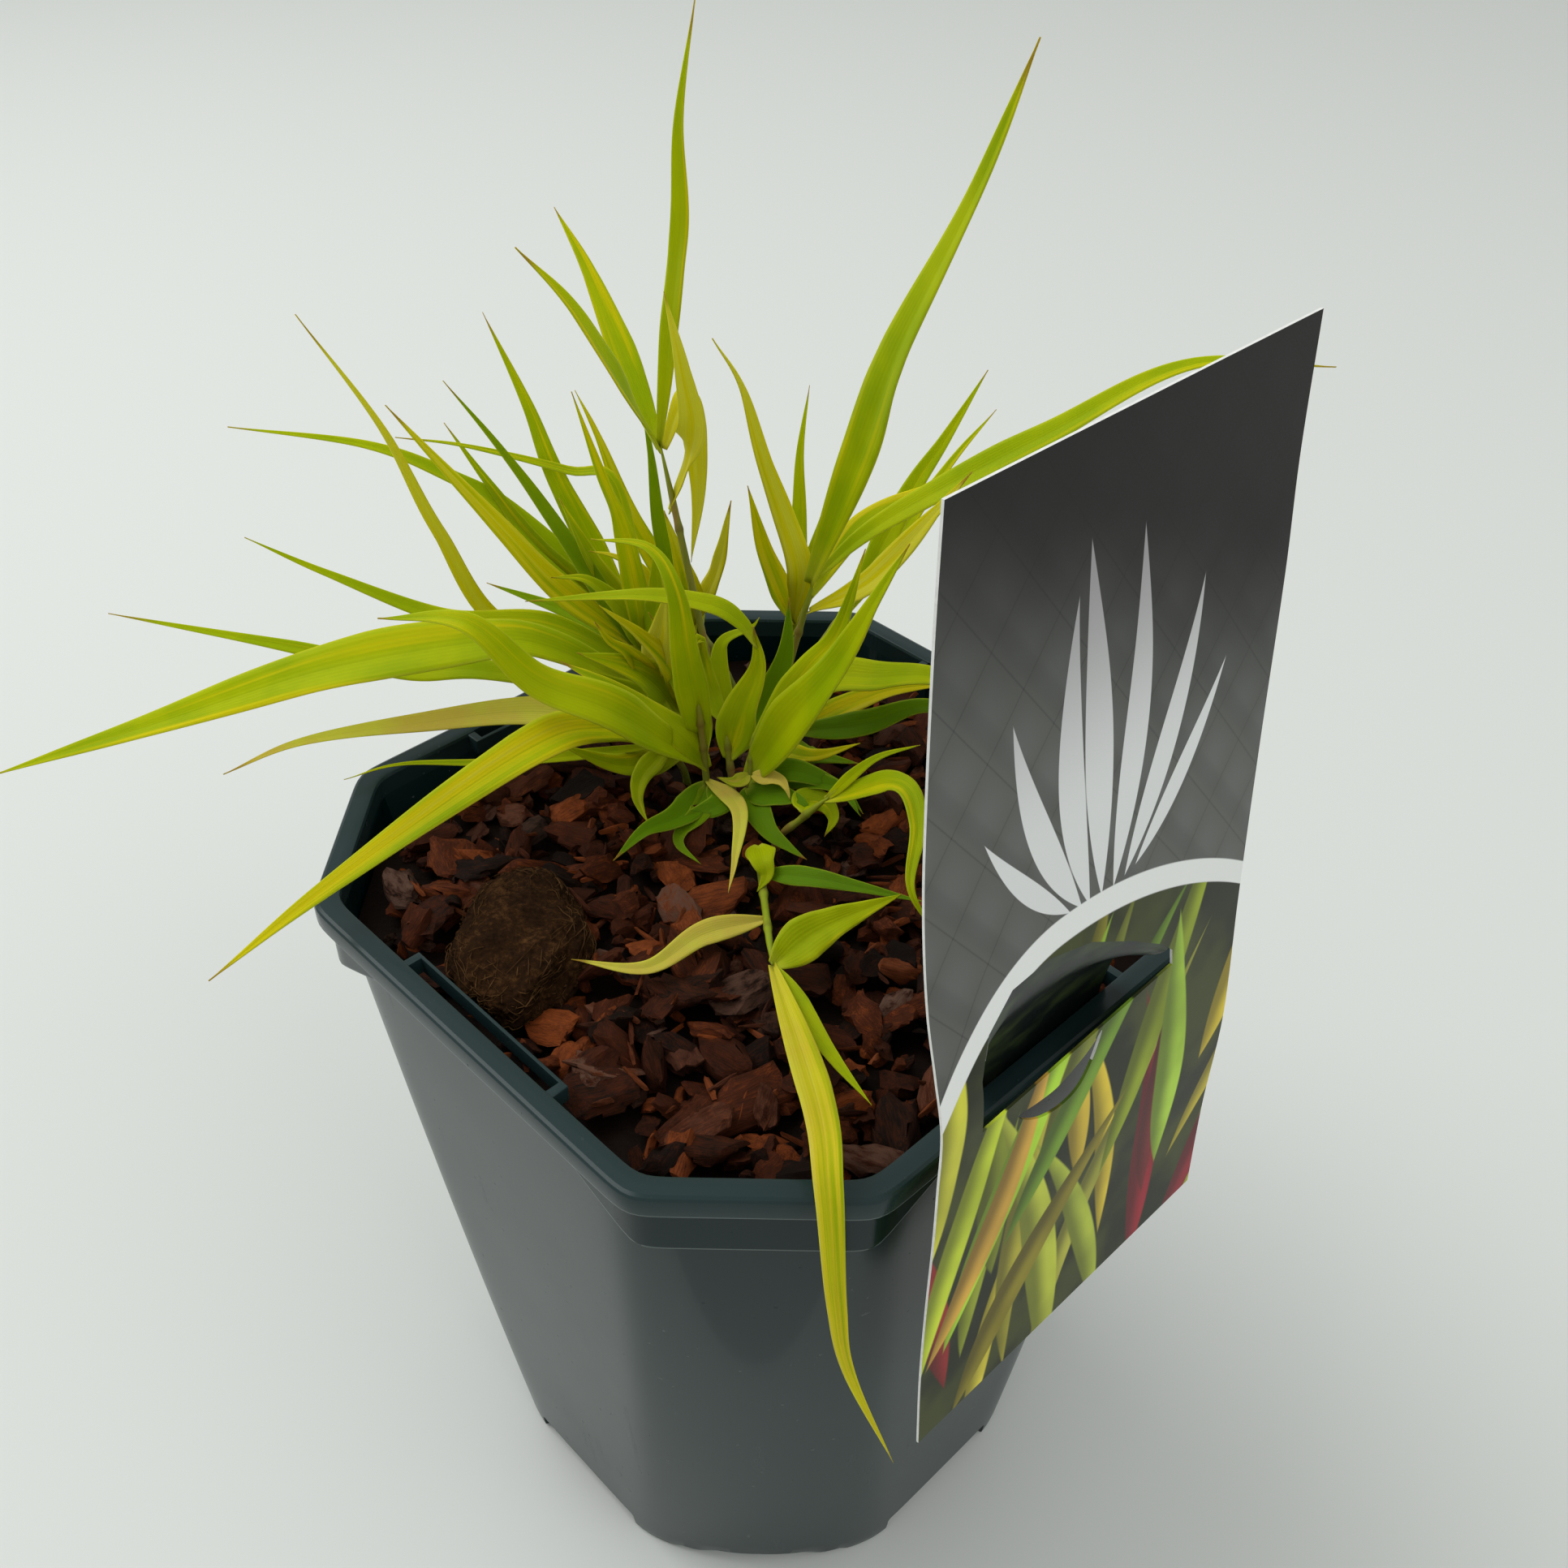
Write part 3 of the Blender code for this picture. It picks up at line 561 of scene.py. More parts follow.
def soilPaint():
    paint = Paint("pottingSoil", {"Specular IOR Level": 0.2})
    crumbs = paint.grain(paint.place(), 420, 5, 0.7)
    colour = paint.ramp(crumbs, [(0.3, shade(*soil["dark"])), (0.55, shade(*soil["mid"])),
                                 (0.75, shade(*soil["pale"]))])
    return paint.dress(colour, 0.85 + crumbs * 0.1, crumbs, 0.8, 0.8 * mm)


def makeSoil():
    low, high, rows = pot["floor"] + soil["gap"], soil["top"], soil["rows"]

    def place(across, along):
        turn, step = across * math.tau, round(along * rows)
        z = low + (high - low) * (step - 1) / (rows - 2)
        if step in (0, rows):
            return Vector((0, 0, min(high, max(low, z))))
        radius = innerRadius(turn, min(z, pot["collarBottom"])) - soil["gap"]
        return Vector((radius * math.cos(turn), radius * math.sin(turn), z))

    filling = bentGrid("soilBlock", soil["around"], rows, place)
    closeSeams(filling)
    return finishPiece(filling, soilPaint(), "soil", "potting_soil", sharp=40)


makeSoil()


# bark mulch: a bed, loose chips that lie on each other, and slivers between them

mulch = {
    "seed": 5, "bedTop": 176.2 * mm, "bedSide": 174 * mm, "lowest": 173 * mm, "ceiling": 185 * mm,
    "reach": 79 * mm, "cell": 2 * mm, "wallGap": 0.6 * mm, "rimGap": 8 * mm, "goldenAngle": 137.5,
    "bedThickness": 2.4 * mm, "bedAround": 110, "bedRows": 40, "bedTone": 0.3,
    "small": {"count": 800, "cuts": 2, "seeds": range(20, 28), "length": (3.5, 9), "thick": (1.3, 2.8),
              "clear": (0, 2.5), "tilt": 26, "lean": 24, "spread": 1.37},
    "big": {"count": 270, "cuts": 3, "seeds": range(8), "length": (8, 19, 11), "thick": (2.2, 4.6),
            "clear": (0.5, 1.5), "tilt": 15, "lean": 14, "spread": 1.0},
    "slivers": 320, "tones": (0.1, 0.24, 0.34, 0.42, 0.52, 0.7), "greyShare": 0.13,
    "clodCentre": (-52 * mm, -27 * mm), "clodHalf": (14 * mm, 21.5 * mm),
    "dark": (18, 7, 2), "red": (70, 31, 12), "orange": (134, 66, 27),
    "grey": (92, 68, 56), "pit": (24, 12, 9),
}


def barkPaint():
    paint = Paint("bark", {"Specular IOR Level": 0.1})
    tone, greyness, seed = paint.split(paint.told("look"))
    shifted = paint.node("VectorMath", {"operation": "ADD"},
                         {0: paint.told("grain"), 1: paint.joined(seed * 91, seed * 37, seed * 53)})
    streaks = paint.grain(paint.stretched(shifted, 0.16, 1.1, 1.3), 1, 5, 0.65)
    blotches = paint.grain(shifted, 0.22, 3)
    pits = paint.grain(shifted, 1.7, 3, 0.7)
    level = tone + (streaks - 0.5) * 0.75 + (blotches - 0.5) * 0.5
    colour = paint.ramp(level, [(0.12, shade(*mulch["dark"])), (0.5, shade(*mulch["red"])),
                                (0.88, shade(*mulch["orange"]))])
    greyed = greyness * paint.soft(blotches + streaks * 0.3, 0.45, 0.75)
    colour = paint.mix(greyed, colour, shade(*mulch["grey"]))
    colour = paint.mix(paint.soft(pits, 0.62, 0.74) * 0.55, colour, shade(*mulch["pit"]))
    return paint.dress(colour, 0.52 + streaks * 0.35, streaks * 0.7 + pits * 0.4, 0.65, 0.8 * mm)


def chipShape(name, cuts, seed):
    # a cube, cut up in edit mode and pulled into a flaky shard, one unit long
    bpy.ops.object.select_all(action="DESELECT")
    bpy.ops.mesh.primitive_cube_add(size=1)
    chip = bpy.context.object
    chip.name = name
    bpy.ops.object.mode_set(mode="EDIT")
    bpy.ops.mesh.subdivide(number_cuts=cuts)
    bpy.ops.object.mode_set(mode="OBJECT")
    rng = random.Random(seed)
    breaks = []  # flat breaks round the shard: facing and reach
    for i in range(7):
        turn = i * math.tau / 7 + rng.uniform(-0.4, 0.4)
        way = Vector((math.cos(turn), math.sin(turn), rng.uniform(-0.7, 0.7))).normalized()
        breaks.append((way, rng.uniform(0.33, 0.47)))
    curl = rng.uniform(-0.9, 0.9)
    for point in chip.data.vertices:
        for way, reach in breaks:
            over = point.co.dot(way) - reach
            if over > 0:
                point.co -= way * over
        x, y, z = point.co
        jag = Vector((x * 5 + seed * 7, y * 5, z * 1.5))
        ridges = noise.noise(Vector((x * 1.5, y * 11, seed * 2))) * 0.16
        lump = noise.noise(Vector((x * 3.1, y * 3.4, z + seed * 11))) * 0.26
        point.co.x += noise.noise(jag) * 0.1
        point.co.y += noise.noise(jag + Vector((9, 4, 2))) * 0.1
        point.co.z = z * (1 - 0.8 * (x * x + y * y)) + ridges + lump + curl * y * y + curl * 0.4 * x * x
    return chip


def copyOf(piece, transform):
    twin = piece.copy()
    twin.data = piece.data.copy()
    bpy.context.scene.collection.objects.link(twin)
    mark(twin, "grain", [tuple(point.co * 16) for point in twin.data.vertices])
    twin.data.transform(transform)
    return twin


def nearClod(place, margin):
    x = (place.x - mulch["clodCentre"][0]) / (mulch["clodHalf"][0] + margin)
    y = (place.y - mulch["clodCentre"][1]) / (mulch["clodHalf"][1] + margin)
    return x * x + y * y < 1


def keepInside(piece):
    # points stay above the soil and within the wall
    for point in piece.data.vertices:
        point.co.z = max(point.co.z, mulch["lowest"])
        flat = math.hypot(point.co.x, point.co.y)
        most = innerRadius(math.atan2(point.co.y, point.co.x), point.co.z) - mulch["wallGap"]
        if flat > most:
            point.co.x *= most / flat
            point.co.y *= most / flat


def makeBed():
    def bedPlace(across, along):
        turn = across * math.tau
        radius = (innerRadius(turn, mulch["bedSide"]) - mulch["wallGap"]) * along
        flat = Vector((radius * math.cos(turn), radius * math.sin(turn), 0))
        lump = noise.noise(flat * 160) * 0.9 + abs(noise.noise(flat * 420)) * 1.5
        return flat + Vector((0, 0, mulch["bedTop"] + lump * mm))

    bed = bentGrid("mulchBed", mulch["bedAround"], mulch["bedRows"], bedPlace)
    closeSeams(bed)
    applyModifier(bed, "SOLIDIFY", thickness=mulch["bedThickness"], offset=-1)
    mark(bed, "grain", [tuple(point.co * 900) for point in bed.data.vertices])
    # the bed takes the darkest tone: partly the dark bark dust under the chips, partly painted shade in the gaps
    # between them
    mark(bed, "look", (0.0, 0.0, mulch["bedTone"]))
    return bed


def cellOf(x, y):
    return round(x / mulch["cell"]), round(y / mulch["cell"])


def cellsUnder(place, length, width, spin):
    cells = []
    for along in (-0.45, -0.2, 0, 0.2, 0.45):
        for side in (-0.4, 0, 0.4):
            x = place.x + along * length * math.cos(spin) - side * width * math.sin(spin)
            y = place.y + along * length * math.sin(spin) + side * width * math.cos(spin)
            cells.append(cellOf(x, y))
    return cells


def layChips(size, kinds, rng, feet, heights):
    # chips spread evenly over the bed, each seated on what lies under it
    parts = []
    for i in range(size["count"]):
        distance = mulch["reach"] * math.sqrt((i + rng.random()) / size["count"])
        turn = i * math.radians(mulch["goldenAngle"]) * size["spread"] + rng.uniform(-0.3, 0.3)
        stretch = rimRadius(turn, mulch["rimGap"]) / (mulch["reach"] + 4 * mm)
        place = Vector((distance * math.cos(turn), distance * math.sin(turn), 0)) * stretch
        draw = rng.triangular if len(size["length"]) == 3 else rng.uniform
        length = draw(*size["length"]) * mm
        width = length * rng.uniform(0.45, 0.8)
        thick = rng.uniform(*size["thick"]) * mm
        clear = length * size["clear"][0] + size["clear"][1] * mm
        if nearClod(place, 0) or any((place.xy - foot).length < clear for foot in feet):
            continue
        spin = rng.uniform(0, math.tau)
        tilt, lean = rng.gauss(0, size["tilt"]), rng.gauss(0, size["lean"])
        cells = cellsUnder(place, length, width, spin)
        ground = [heights.get(cell, mulch["bedTop"]) for cell in cells]
        seat = sum(ground) / len(ground) * 0.55 + max(ground) * 0.45
        seat = min(seat, mulch["ceiling"] - thick * 0.9)
        for cell in cells:
            heights[cell] = max(heights.get(cell, mulch["bedTop"]), seat + thick * 0.45)
        transform = (Matrix.Translation((place.x, place.y, seat + thick * 0.32))
                     @ Matrix.Rotation(spin, 4, "Z") @ Matrix.Rotation(math.radians(tilt), 4, "Y")
                     @ Matrix.Rotation(math.radians(lean), 4, "X") @ Matrix.Diagonal((length, width, thick, 1)))
        chip = copyOf(rng.choice(kinds), transform)
        keepInside(chip)
        tone = rng.choice(mulch["tones"]) + rng.uniform(-0.06, 0.06)
        mark(chip, "look", (tone, rng.random() if rng.random() < mulch["greyShare"] else 0.0, rng.random()))
        parts.append(chip)
    return parts


def laySlivers(kind, rng, heights):
    parts = []
    for i in range(mulch["slivers"]):
        turn, distance = rng.uniform(0, math.tau), mulch["reach"] * math.sqrt(rng.random())
        place = Vector((distance * math.cos(turn), distance * math.sin(turn), 0))
        if nearClod(place, -3 * mm):
            continue
        seat = heights.get(cellOf(place.x, place.y), mulch["bedTop"] + 1 * mm)
        spin, tilt = rng.uniform(0, 6.3), rng.gauss(0, 0.25)
        size = (rng.uniform(3, 9) * mm, rng.uniform(0.6, 1.8) * mm, rng.uniform(0.5, 1.1) * mm, 1)
        transform = (Matrix.Translation((place.x, place.y, seat + 0.4 * mm)) @ Matrix.Rotation(spin, 4, "Z")
                     @ Matrix.Rotation(tilt, 4, "Y") @ Matrix.Diagonal(size))
        chip = copyOf(kind, transform)
        keepInside(chip)
        mark(chip, "look", (rng.uniform(0.3, 0.95), 0.3 * rng.random(), rng.random()))
        parts.append(chip)
    return parts


def makeMulch(feet):
    rng, heights, parts = random.Random(mulch["seed"]), {}, [makeBed()]
    big, small = [[chipShape(name, mulch[name]["cuts"], seed) for seed in mulch[name]["seeds"]]
                  for name in ("big", "small")]
    parts += layChips(mulch["small"], small, rng, feet, heights)
    parts += layChips(mulch["big"], big, rng, feet, heights)
    sliver = chipShape("sliver", 1, 3)
    parts += laySlivers(sliver, rng, heights)
    for kind in big + small + [sliver]:
        bpy.data.objects.remove(kind)
    return finishPiece(joinAll("barkMulch", parts), barkPaint(), "bark", "bark_mulch", sharp=32)


# clod of peat

clod = {
    "centre": (-52, -27), "size": (27, 42, 17), "seat": 177.3, "seed": 9, "fibres": 340,
    "dark": (20, 11, 5), "mid": (47, 29, 14), "pale": (92, 62, 34), "straw": (98, 70, 42),
}


def peatPaint():
    paint = Paint("peat", {"Specular IOR Level": 0.05})
    where = paint.place()
    crumbs = paint.grain(where, 700, 6, 0.75)
    patches = paint.grain(where, 130, 3)
    colour = paint.ramp(crumbs * 0.7 + patches * 0.35,
                        [(0.36, shade(*clod["dark"])), (0.55, shade(*clod["mid"])),
                         (0.72, shade(*clod["pale"]))])
    isFibre, paleness = paint.split(paint.told("look"))[::2]
    colour = paint.mix(isFibre * paleness, colour, shade(*clod["straw"]))
    return paint.dress(colour, 0.95, crumbs, 0.9, 0.7 * mm)


def clodSurface(way):
    # the point of the lump's surface in a direction of half a unit, flat where it lies on the mulch
    size = Vector(clod["size"]) * mm
    seat = -0.32 * size.z
    swell = 1 + 0.22 * noise.noise(way * 3.1 + Vector((3, 1, 2))) + 0.05 * noise.noise(way * 11)
    swell += 0.035 * noise.noise(way * 24) + 0.02 * noise.noise(way * 52)
    spot = Vector((way.x * size.x, way.y * size.y, way.z * size.z)) * swell
    spot.z = max(spot.z, seat)
    return spot + (Vector((*clod["centre"], clod["seat"])) * mm - Vector((0, 0, seat)))


def looseFibre(rng):
    turn, rise = rng.uniform(0, math.tau), rng.uniform(-0.15, 1)
    way = Vector((math.cos(turn), math.sin(turn), rise)).normalized() * 0.5
    drift = Vector((rng.uniform(-1, 1), rng.uniform(-1, 1), rng.uniform(-0.6, 0.6))) * rng.uniform(0.1, 0.3)
    lift, thin = rng.uniform(0.1, 0.9) * mm, rng.uniform(0.07, 0.17) * mm

    def route(along):
        on = (way + drift * along).normalized() * 0.5
        return clodSurface(on) + on.normalized() * lift * math.sin(along * math.pi)

    fibre = bentTube("fibre", 3, 6, route, lambda along: thin * math.sin(along * math.pi) ** 0.5)
    mark(fibre, "look", (1, 0, rng.uniform(0.2, 1)))
    return fibre


def makeClod():
    bpy.ops.object.select_all(action="DESELECT")
    bpy.ops.mesh.primitive_ico_sphere_add(subdivisions=6, radius=0.5)
    lump = bpy.context.object
    for point in lump.data.vertices:
        point.co = clodSurface(point.co.copy())
    mark(lump, "look", (0, 0, 0))
    rng = random.Random(clod["seed"])
    parts = [lump] + [looseFibre(rng) for fibre in range(clod["fibres"])]
    return finishPiece(joinAll("peatClod", parts), peatPaint(), "peat", "peat_clod")


# leafy stems: foot, head, the look of each blade as in leaf["looks"], then the blades with their width
# and the points that their midribs pass, in millimetres

stems = {
    "stem_tall_left": ((-11, 47), (-26, 60, 258), "gggYY", [
        (5.0, [(-26, 60, 257), (-23, 58, 281), (-19, 50, 309), (-18, 44, 332), (-14, 38, 355)]),
        (6.5, [(-26, 60, 256), (-32, 68, 269), (-42, 80, 289), (-50, 88, 301)]),
        (7.0, [(-26, 60, 255), (-33, 46, 279), (-40, 36, 299), (-49, 30, 313)]),
        (7.0, [(-24, 60, 240), (-18, 50, 262), (-19, 43, 283), (-22, 42, 300)]),
        (6.0, [(-25, 60, 256), (-20, 66, 266), (-18, 68, 243), (-20, 64, 224)])]),
    "stem_tall_right": ((0, 56), (10, 60, 223), "ggYy", [
        (11.5, [(9, 60, 221), (19, 50, 259), (26, 40, 289), (38, 25, 327), (45, 15, 355)]),
        (7.0, [(9, 60, 221), (26, 60, 238), (62, 60, 261), (91, 60, 278), (123, 60, 278)]),
        (8.0, [(9, 58, 214), (23, 45, 231), (36, 35, 255), (42, 30, 267)]),
        (6.0, [(9, 60, 217), (21, 72, 230), (35, 78, 236), (48, 82, 239)])]),
    "stem_front_left": ((-15, 28), (-17, 30, 212), "ggsdgddg", [
        (8.0, [(-16, 31, 192), (-19, 28, 219), (-21, 28, 238), (-27, 33, 246), (-40, 38, 245)]),
        (12.5, [(-16, 30, 188), (-34, 14, 215), (-50, 10, 226), (-63, 8, 242), (-85, 20, 235)]),
        (4.5, [(-15, 28, 185), (-7, 14, 188), (-7, -6, 190), (-8, -17, 190)]),
        (8.0, [(-15, 28, 184), (-20, 14, 186), (-28, 4, 189), (-34, -6, 189)]),
        (6.5, [(-16, 30, 190), (-18, 40, 196), (-25, 47, 206), (-27, 47, 215), (-29, 46, 221)]),
        (6.0, [(-15, 27, 184), (-16, 16, 185), (-20, 9, 185), (-20, 5, 184), (-15, 0, 183)]),
        (7.0, [(-14, 27, 184), (-11, 19, 186), (-17, 15, 185), (-25, 11, 185)]),
        (8.0, [(-15, 29, 188), (-21, 27, 199), (-36, 30, 210), (-49, 34, 215)])]),
    "stem_front_mid": ((-9, 30), (-11, 34, 200), "ggdgg", [
        (10.0, [(-10, 32, 189), (-7, 33, 202), (-3, 34, 214), (-4, 36, 224)]),
        (5.0, [(-3, 35, 219), (-7, 36, 225), (-14, 37, 229), (-30, 39, 230), (-57, 42, 226)]),
        (9.0, [(-10, 32, 188), (-3, 43, 194), (3, 45, 209), (4, 47, 225)]),
        (6.0, [(-11, 34, 198), (-15, 38, 204), (-17, 40, 217), (-16, 40, 215), (-16, 39, 207)]),
        (6.0, [(-11, 34, 197), (-12, 40, 200), (-12, 46, 212), (-5, 46, 217), (-3, 46, 220)])]),
    "stem_front_right": ((-5, 25), (-4, 29, 199), "ggdddpsd", [
        (12.5, [(-5, 27, 186), (4, 22, 206), (15, 15, 228), (22, 8, 249), (28, 5, 264)]),
        (7.5, [(-4, 28, 195), (8, 29, 216), (15, 26, 229), (20, 20, 254)]),
        (7.0, [(-5, 27, 184), (5, 24, 189), (16, 16, 193), (21, 6, 193)]),
        (8.0, [(-5, 24, 186), (1, 19, 188), (7, 15, 190), (10, 12, 189)]),
        (7.0, [(-5, 25, 185), (-4, 20, 186), (0, 10, 185), (5, 5, 184), (9, 1, 184)]),
        (4.0, [(-5, 24, 190), (-8, 20, 191), (-12, 18, 194)]),
        (4.5, [(-4, 24, 190), (2, 20, 192), (4, 17, 192), (5, 15, 190)]),
        (7.0, [(-5, 26, 187), (0, 26, 189), (6, 22, 193), (13, 20, 192), (18, 17, 191), (22, 14, 187)])]),
    "stem_right_low": ((5, 44), (8, 44, 198), "gdyyd", [
        (9.5, [(7, 44, 196), (15, 40, 207), (25, 35, 211), (37, 30, 215), (57, 35, 206)]),
        (7.5, [(6, 44, 188), (22, 38, 195), (37, 32, 205), (54, 20, 207)]),
        (6.5, [(6, 44, 189), (27, 50, 196), (46, 52, 198)]),
        (6.0, [(6, 43, 186), (4, 36, 188), (11, 28, 193), (21, 24, 200)]),
        (6.0, [(6, 43, 186), (8, 36, 187), (15, 28, 192), (21, 24, 194)])]),
    "stem_right_runner": ((2, 12), (14, 8, 197), "ggg", [
        (6.2, [(13, 9, 195), (28, -2, 209), (32, -14, 208), (30, -30, 204), (36, -36, 196)]),
        (3.0, [(13, 9, 195), (23, 6, 209), (33, 4, 215)]),
        (7.0, [(8, 10, 190), (9, 16, 189), (13, 15, 189), (15, 12, 187), (13, 8, 185)])]),
    "stem_front_runner": ((-2, 5), (2, -37, 188), "sgdcgg", [
        (6.0, [(0, -20, 185), (-13, -27, 187), (-24, -38, 188), (-40, -35, 187)]),
        (10.0, [(2, -36, 187), (12, -30, 192), (29, -22, 195)]),
        (5.0, [(-1, -4, 184), (12, -10, 188), (35, -18, 189)]),
        (6.6, [(2, -36, 187), (11, -80, 197), (13, -99, 196), (15, -106, 172), (18, -106, 150),
               (28, -105, 116)]),
        (5.0, [(2, -36, 187), (13, -62, 191), (21, -80, 196)]),
        (7.0, [(-2, 2, 187), (-1, -4, 188), (0, -7, 186), (-2, -10, 184)])]),
    "stem_left_low": ((-21, 37), (-29, 32, 198), "ysgggp", [
        (11.0, [(-24, 35, 190), (-39, 20, 206), (-53, 0, 214), (-89, -28, 201), (-115, -40, 184)]),
        (7.5, [(-27, 34, 195), (-55, 33, 201), (-83, 29, 200), (-110, 25, 197), (-128, 20, 191)]),
        (3.0, [(-25, 34, 191), (-60, 24, 193), (-85, 20, 195), (-98, 15, 194)]),
        (8.0, [(-22, 36, 186), (-35, 27, 190), (-48, 20, 201)]),
        (9.0, [(-23, 38, 191), (-32, 42, 198), (-40, 40, 205), (-47, 38, 211)]),
        (6.0, [(-25, 34, 190), (-30, 25, 189), (-31, 20, 187), (-30, 17, 185), (-28, 13, 184)])]),
    "stem_left_mid": ((-21, 47), (-32, 50, 198), "gggyyY", [
        (13.5, [(-31, 50, 195), (-52, 45, 211), (-67, 40, 216), (-103, 32, 213), (-142, 27, 201),
                (-184, 22, 188)]),
        (6.0, [(-29, 49, 192), (-70, 54, 198), (-91, 52, 199), (-115, 48, 208), (-155, 42, 221)]),
        (10.0, [(-22, 47, 190), (-31, 42, 206), (-45, 36, 216)]),
        (6.0, [(-23, 47, 192), (-24, 45, 205), (-30, 42, 216), (-39, 36, 229)]),
        (6.0, [(-28, 48, 192), (-29, 44, 203), (-34, 43, 211), (-38, 41, 216), (-41, 40, 222)]),
        (8.0, [(-31, 50, 195), (-27, 46, 212), (-24, 42, 230)])]),
    "stem_left_up": ((-17, 52), (-33, 60, 203), "ydgygygg", [
        (7.5, [(-33, 60, 201), (-52, 60, 218), (-63, 55, 237), (-76, 50, 259), (-83, 45, 273)]),
        (5.0, [(-31, 59, 197), (-51, 66, 230), (-63, 64, 253), (-74, 62, 271)]),
        (6.5, [(-30, 58, 195), (-55, 58, 209), (-79, 52, 215), (-103, 45, 231), (-118, 40, 243)]),
        (6.0, [(-32, 59, 200), (-33, 56, 220), (-35, 52, 240), (-38, 46, 257), (-42, 40, 279)]),
        (4.0, [(-32, 59, 200), (-38, 72, 239), (-50, 74, 243), (-73, 72, 250), (-89, 70, 253)]),
        (6.0, [(-27, 57, 197), (-26, 60, 206), (-31, 61, 222), (-38, 61, 227), (-44, 60, 229)]),
        (7.0, [(-30, 60, 199), (-35, 59, 210), (-39, 58, 217), (-45, 57, 223), (-53, 56, 224)]),
        (8.0, [(-32, 59, 199), (-28, 52, 218), (-27, 48, 238)])]),
    "stem_back_left": ((-16, 68), (-36, 74, 201), "gggYdg", [
        (6.0, [(-34, 73, 197), (-56, 72, 220), (-69, 75, 238), (-79, 78, 253)]),
        (7.0, [(-36, 74, 199), (-52, 76, 237), (-59, 80, 257), (-68, 84, 278)]),
        (6.0, [(-34, 73, 198), (-63, 75, 229), (-78, 72, 242), (-96, 68, 252), (-124, 60, 260)]),
        (5.0, [(-30, 73, 193), (-67, 66, 203), (-79, 58, 235), (-86, 50, 265), (-97, 40, 295)]),
        (6.0, [(-28, 72, 192), (-54, 80, 199), (-75, 84, 205)]),
        (7.0, [(-36, 74, 199), (-44, 66, 222), (-50, 60, 243)])]),
    "stem_back_mid": ((-10, 72), (-22, 79, 200), "ydyY", [
        (6.0, [(-21, 78, 198), (-35, 80, 225), (-43, 82, 248), (-48, 84, 259)]),
        (5.0, [(-20, 78, 195), (-28, 78, 221), (-30, 78, 246), (-32, 80, 260)]),
        (8.0, [(-20, 78, 195), (-22, 70, 215), (-26, 64, 238)]),
        (7.0, [(-21, 78, 197), (-14, 70, 218), (-10, 62, 242)])]),
    "stem_back_right": ((-1, 76), (6, 72, 204), "Yggy", [
        (7.0, [(5, 72, 202), (6, 66, 222), (-2, 60, 252), (-7, 56, 273), (-13, 52, 286)]),
        (5.0, [(5, 73, 200), (6, 76, 227), (6, 78, 246), (8, 82, 262)]),
        (6.0, [(4, 73, 197), (12, 74, 228), (17, 78, 249)]),
        (7.0, [(5, 72, 202), (-2, 66, 225), (-6, 60, 247)])]),
    "stem_far_right": ((5, 76), (22, 84, 204), "gg", [
        (7.0, [(21, 84, 202), (33, 88, 229), (42, 90, 245), (51, 92, 262)]),
        (5.0, [(19, 83, 198), (42, 95, 232), (55, 100, 248)])]),
}

leaf = {
    "seed": 21, "rows": 56, "columns": 8, "thickness": 0.28 * mm,
    "widest": 0.28, "late": {"stem_tall_left": 0.42, "stem_tall_right": 0.42, "stem_left_mid": 0.42},
    "footWidth": 0.25, "tipWidth": 0.02, "taper": 1.05,
    "fold": 0.16, "baseFold": 0.75, "foldReach": 0.22, "rounding": 0.12,
    "ripple": 0.07, "waves": (2.2, 4.5), "sway": 7, "swayTurns": 5, "faceWay": (0, -0.45, 0.9),
    # yellowness and dryness: green, yellow, very yellow, straw, dark, pale and cream; dark is a deeper green,
    # partly the leaves' own and partly painted shade for low blades in the crown
    "looks": {"g": (0.0, 0.0), "y": (0.8, 0.0), "Y": (1.5, 0.0), "s": (0.55, 0.9), "d": (-0.8, 0.0),
              "p": (-0.2, 0.45), "c": (1.2, 0.42)},
    "green": (138, 158, 0), "lime": (160, 172, 0), "yellow": (206, 188, 8), "deep": (86, 122, 4),
    "straw": (200, 176, 74), "brown": (140, 92, 40), "pale": (200, 196, 70),
}

culm = {
    "radius": 0.95 * mm, "foot": 165 * mm, "mulchTop": 177, "around": 10,
    "rowLength": 1.4 * mm, "leastRows": 24,
    "joints": ((0.25, 0.4), (0.5, 0.62), (0.72, 0.82)), "jointLength": 0.9 * mm, "jointSwell": 0.32,
    "jointStain": 1.7 * mm, "greenHead": 14 * mm,
    "green": (98, 112, 20), "olive": (132, 132, 42), "tan": (146, 112, 52), "joint": (92, 52, 28),
}


def smoothPoint(a, b, c, d, t):
    # a share of the way from b to c, on the smooth curve through all four
    return 0.5 * (2 * b + (c - a) * t + (2 * a - 5 * b + 4 * c - d) * t * t
                  + (3 * b - a - 3 * c + d) * t ** 3)


def pathPoint(points, step):
    # a point on the smooth curve through the points, at a share of its length
    lengths = [(b - a).length for a, b in zip(points, points[1:])]
    target = step * sum(lengths)
    i = 0
    while i < len(lengths) - 1 and target > lengths[i]:
        target -= lengths[i]
        i += 1
    b, c = points[i], points[i + 1]
    a = points[i - 1] if i > 0 else b * 2 - c
    d = points[i + 2] if i + 2 < len(points) else c * 2 - b
    return smoothPoint(a, b, c, d, min(1.0, target / lengths[i]))


def bladeShare(step, widest):
    # share of the full width along a blade
    if step < widest:
        return leaf["footWidth"] + (1 - leaf["footWidth"]) * math.sin(step / widest * math.pi / 2)
    return max(leaf["tipWidth"], 1 - ((step - widest) / (1 - widest)) ** leaf["taper"])


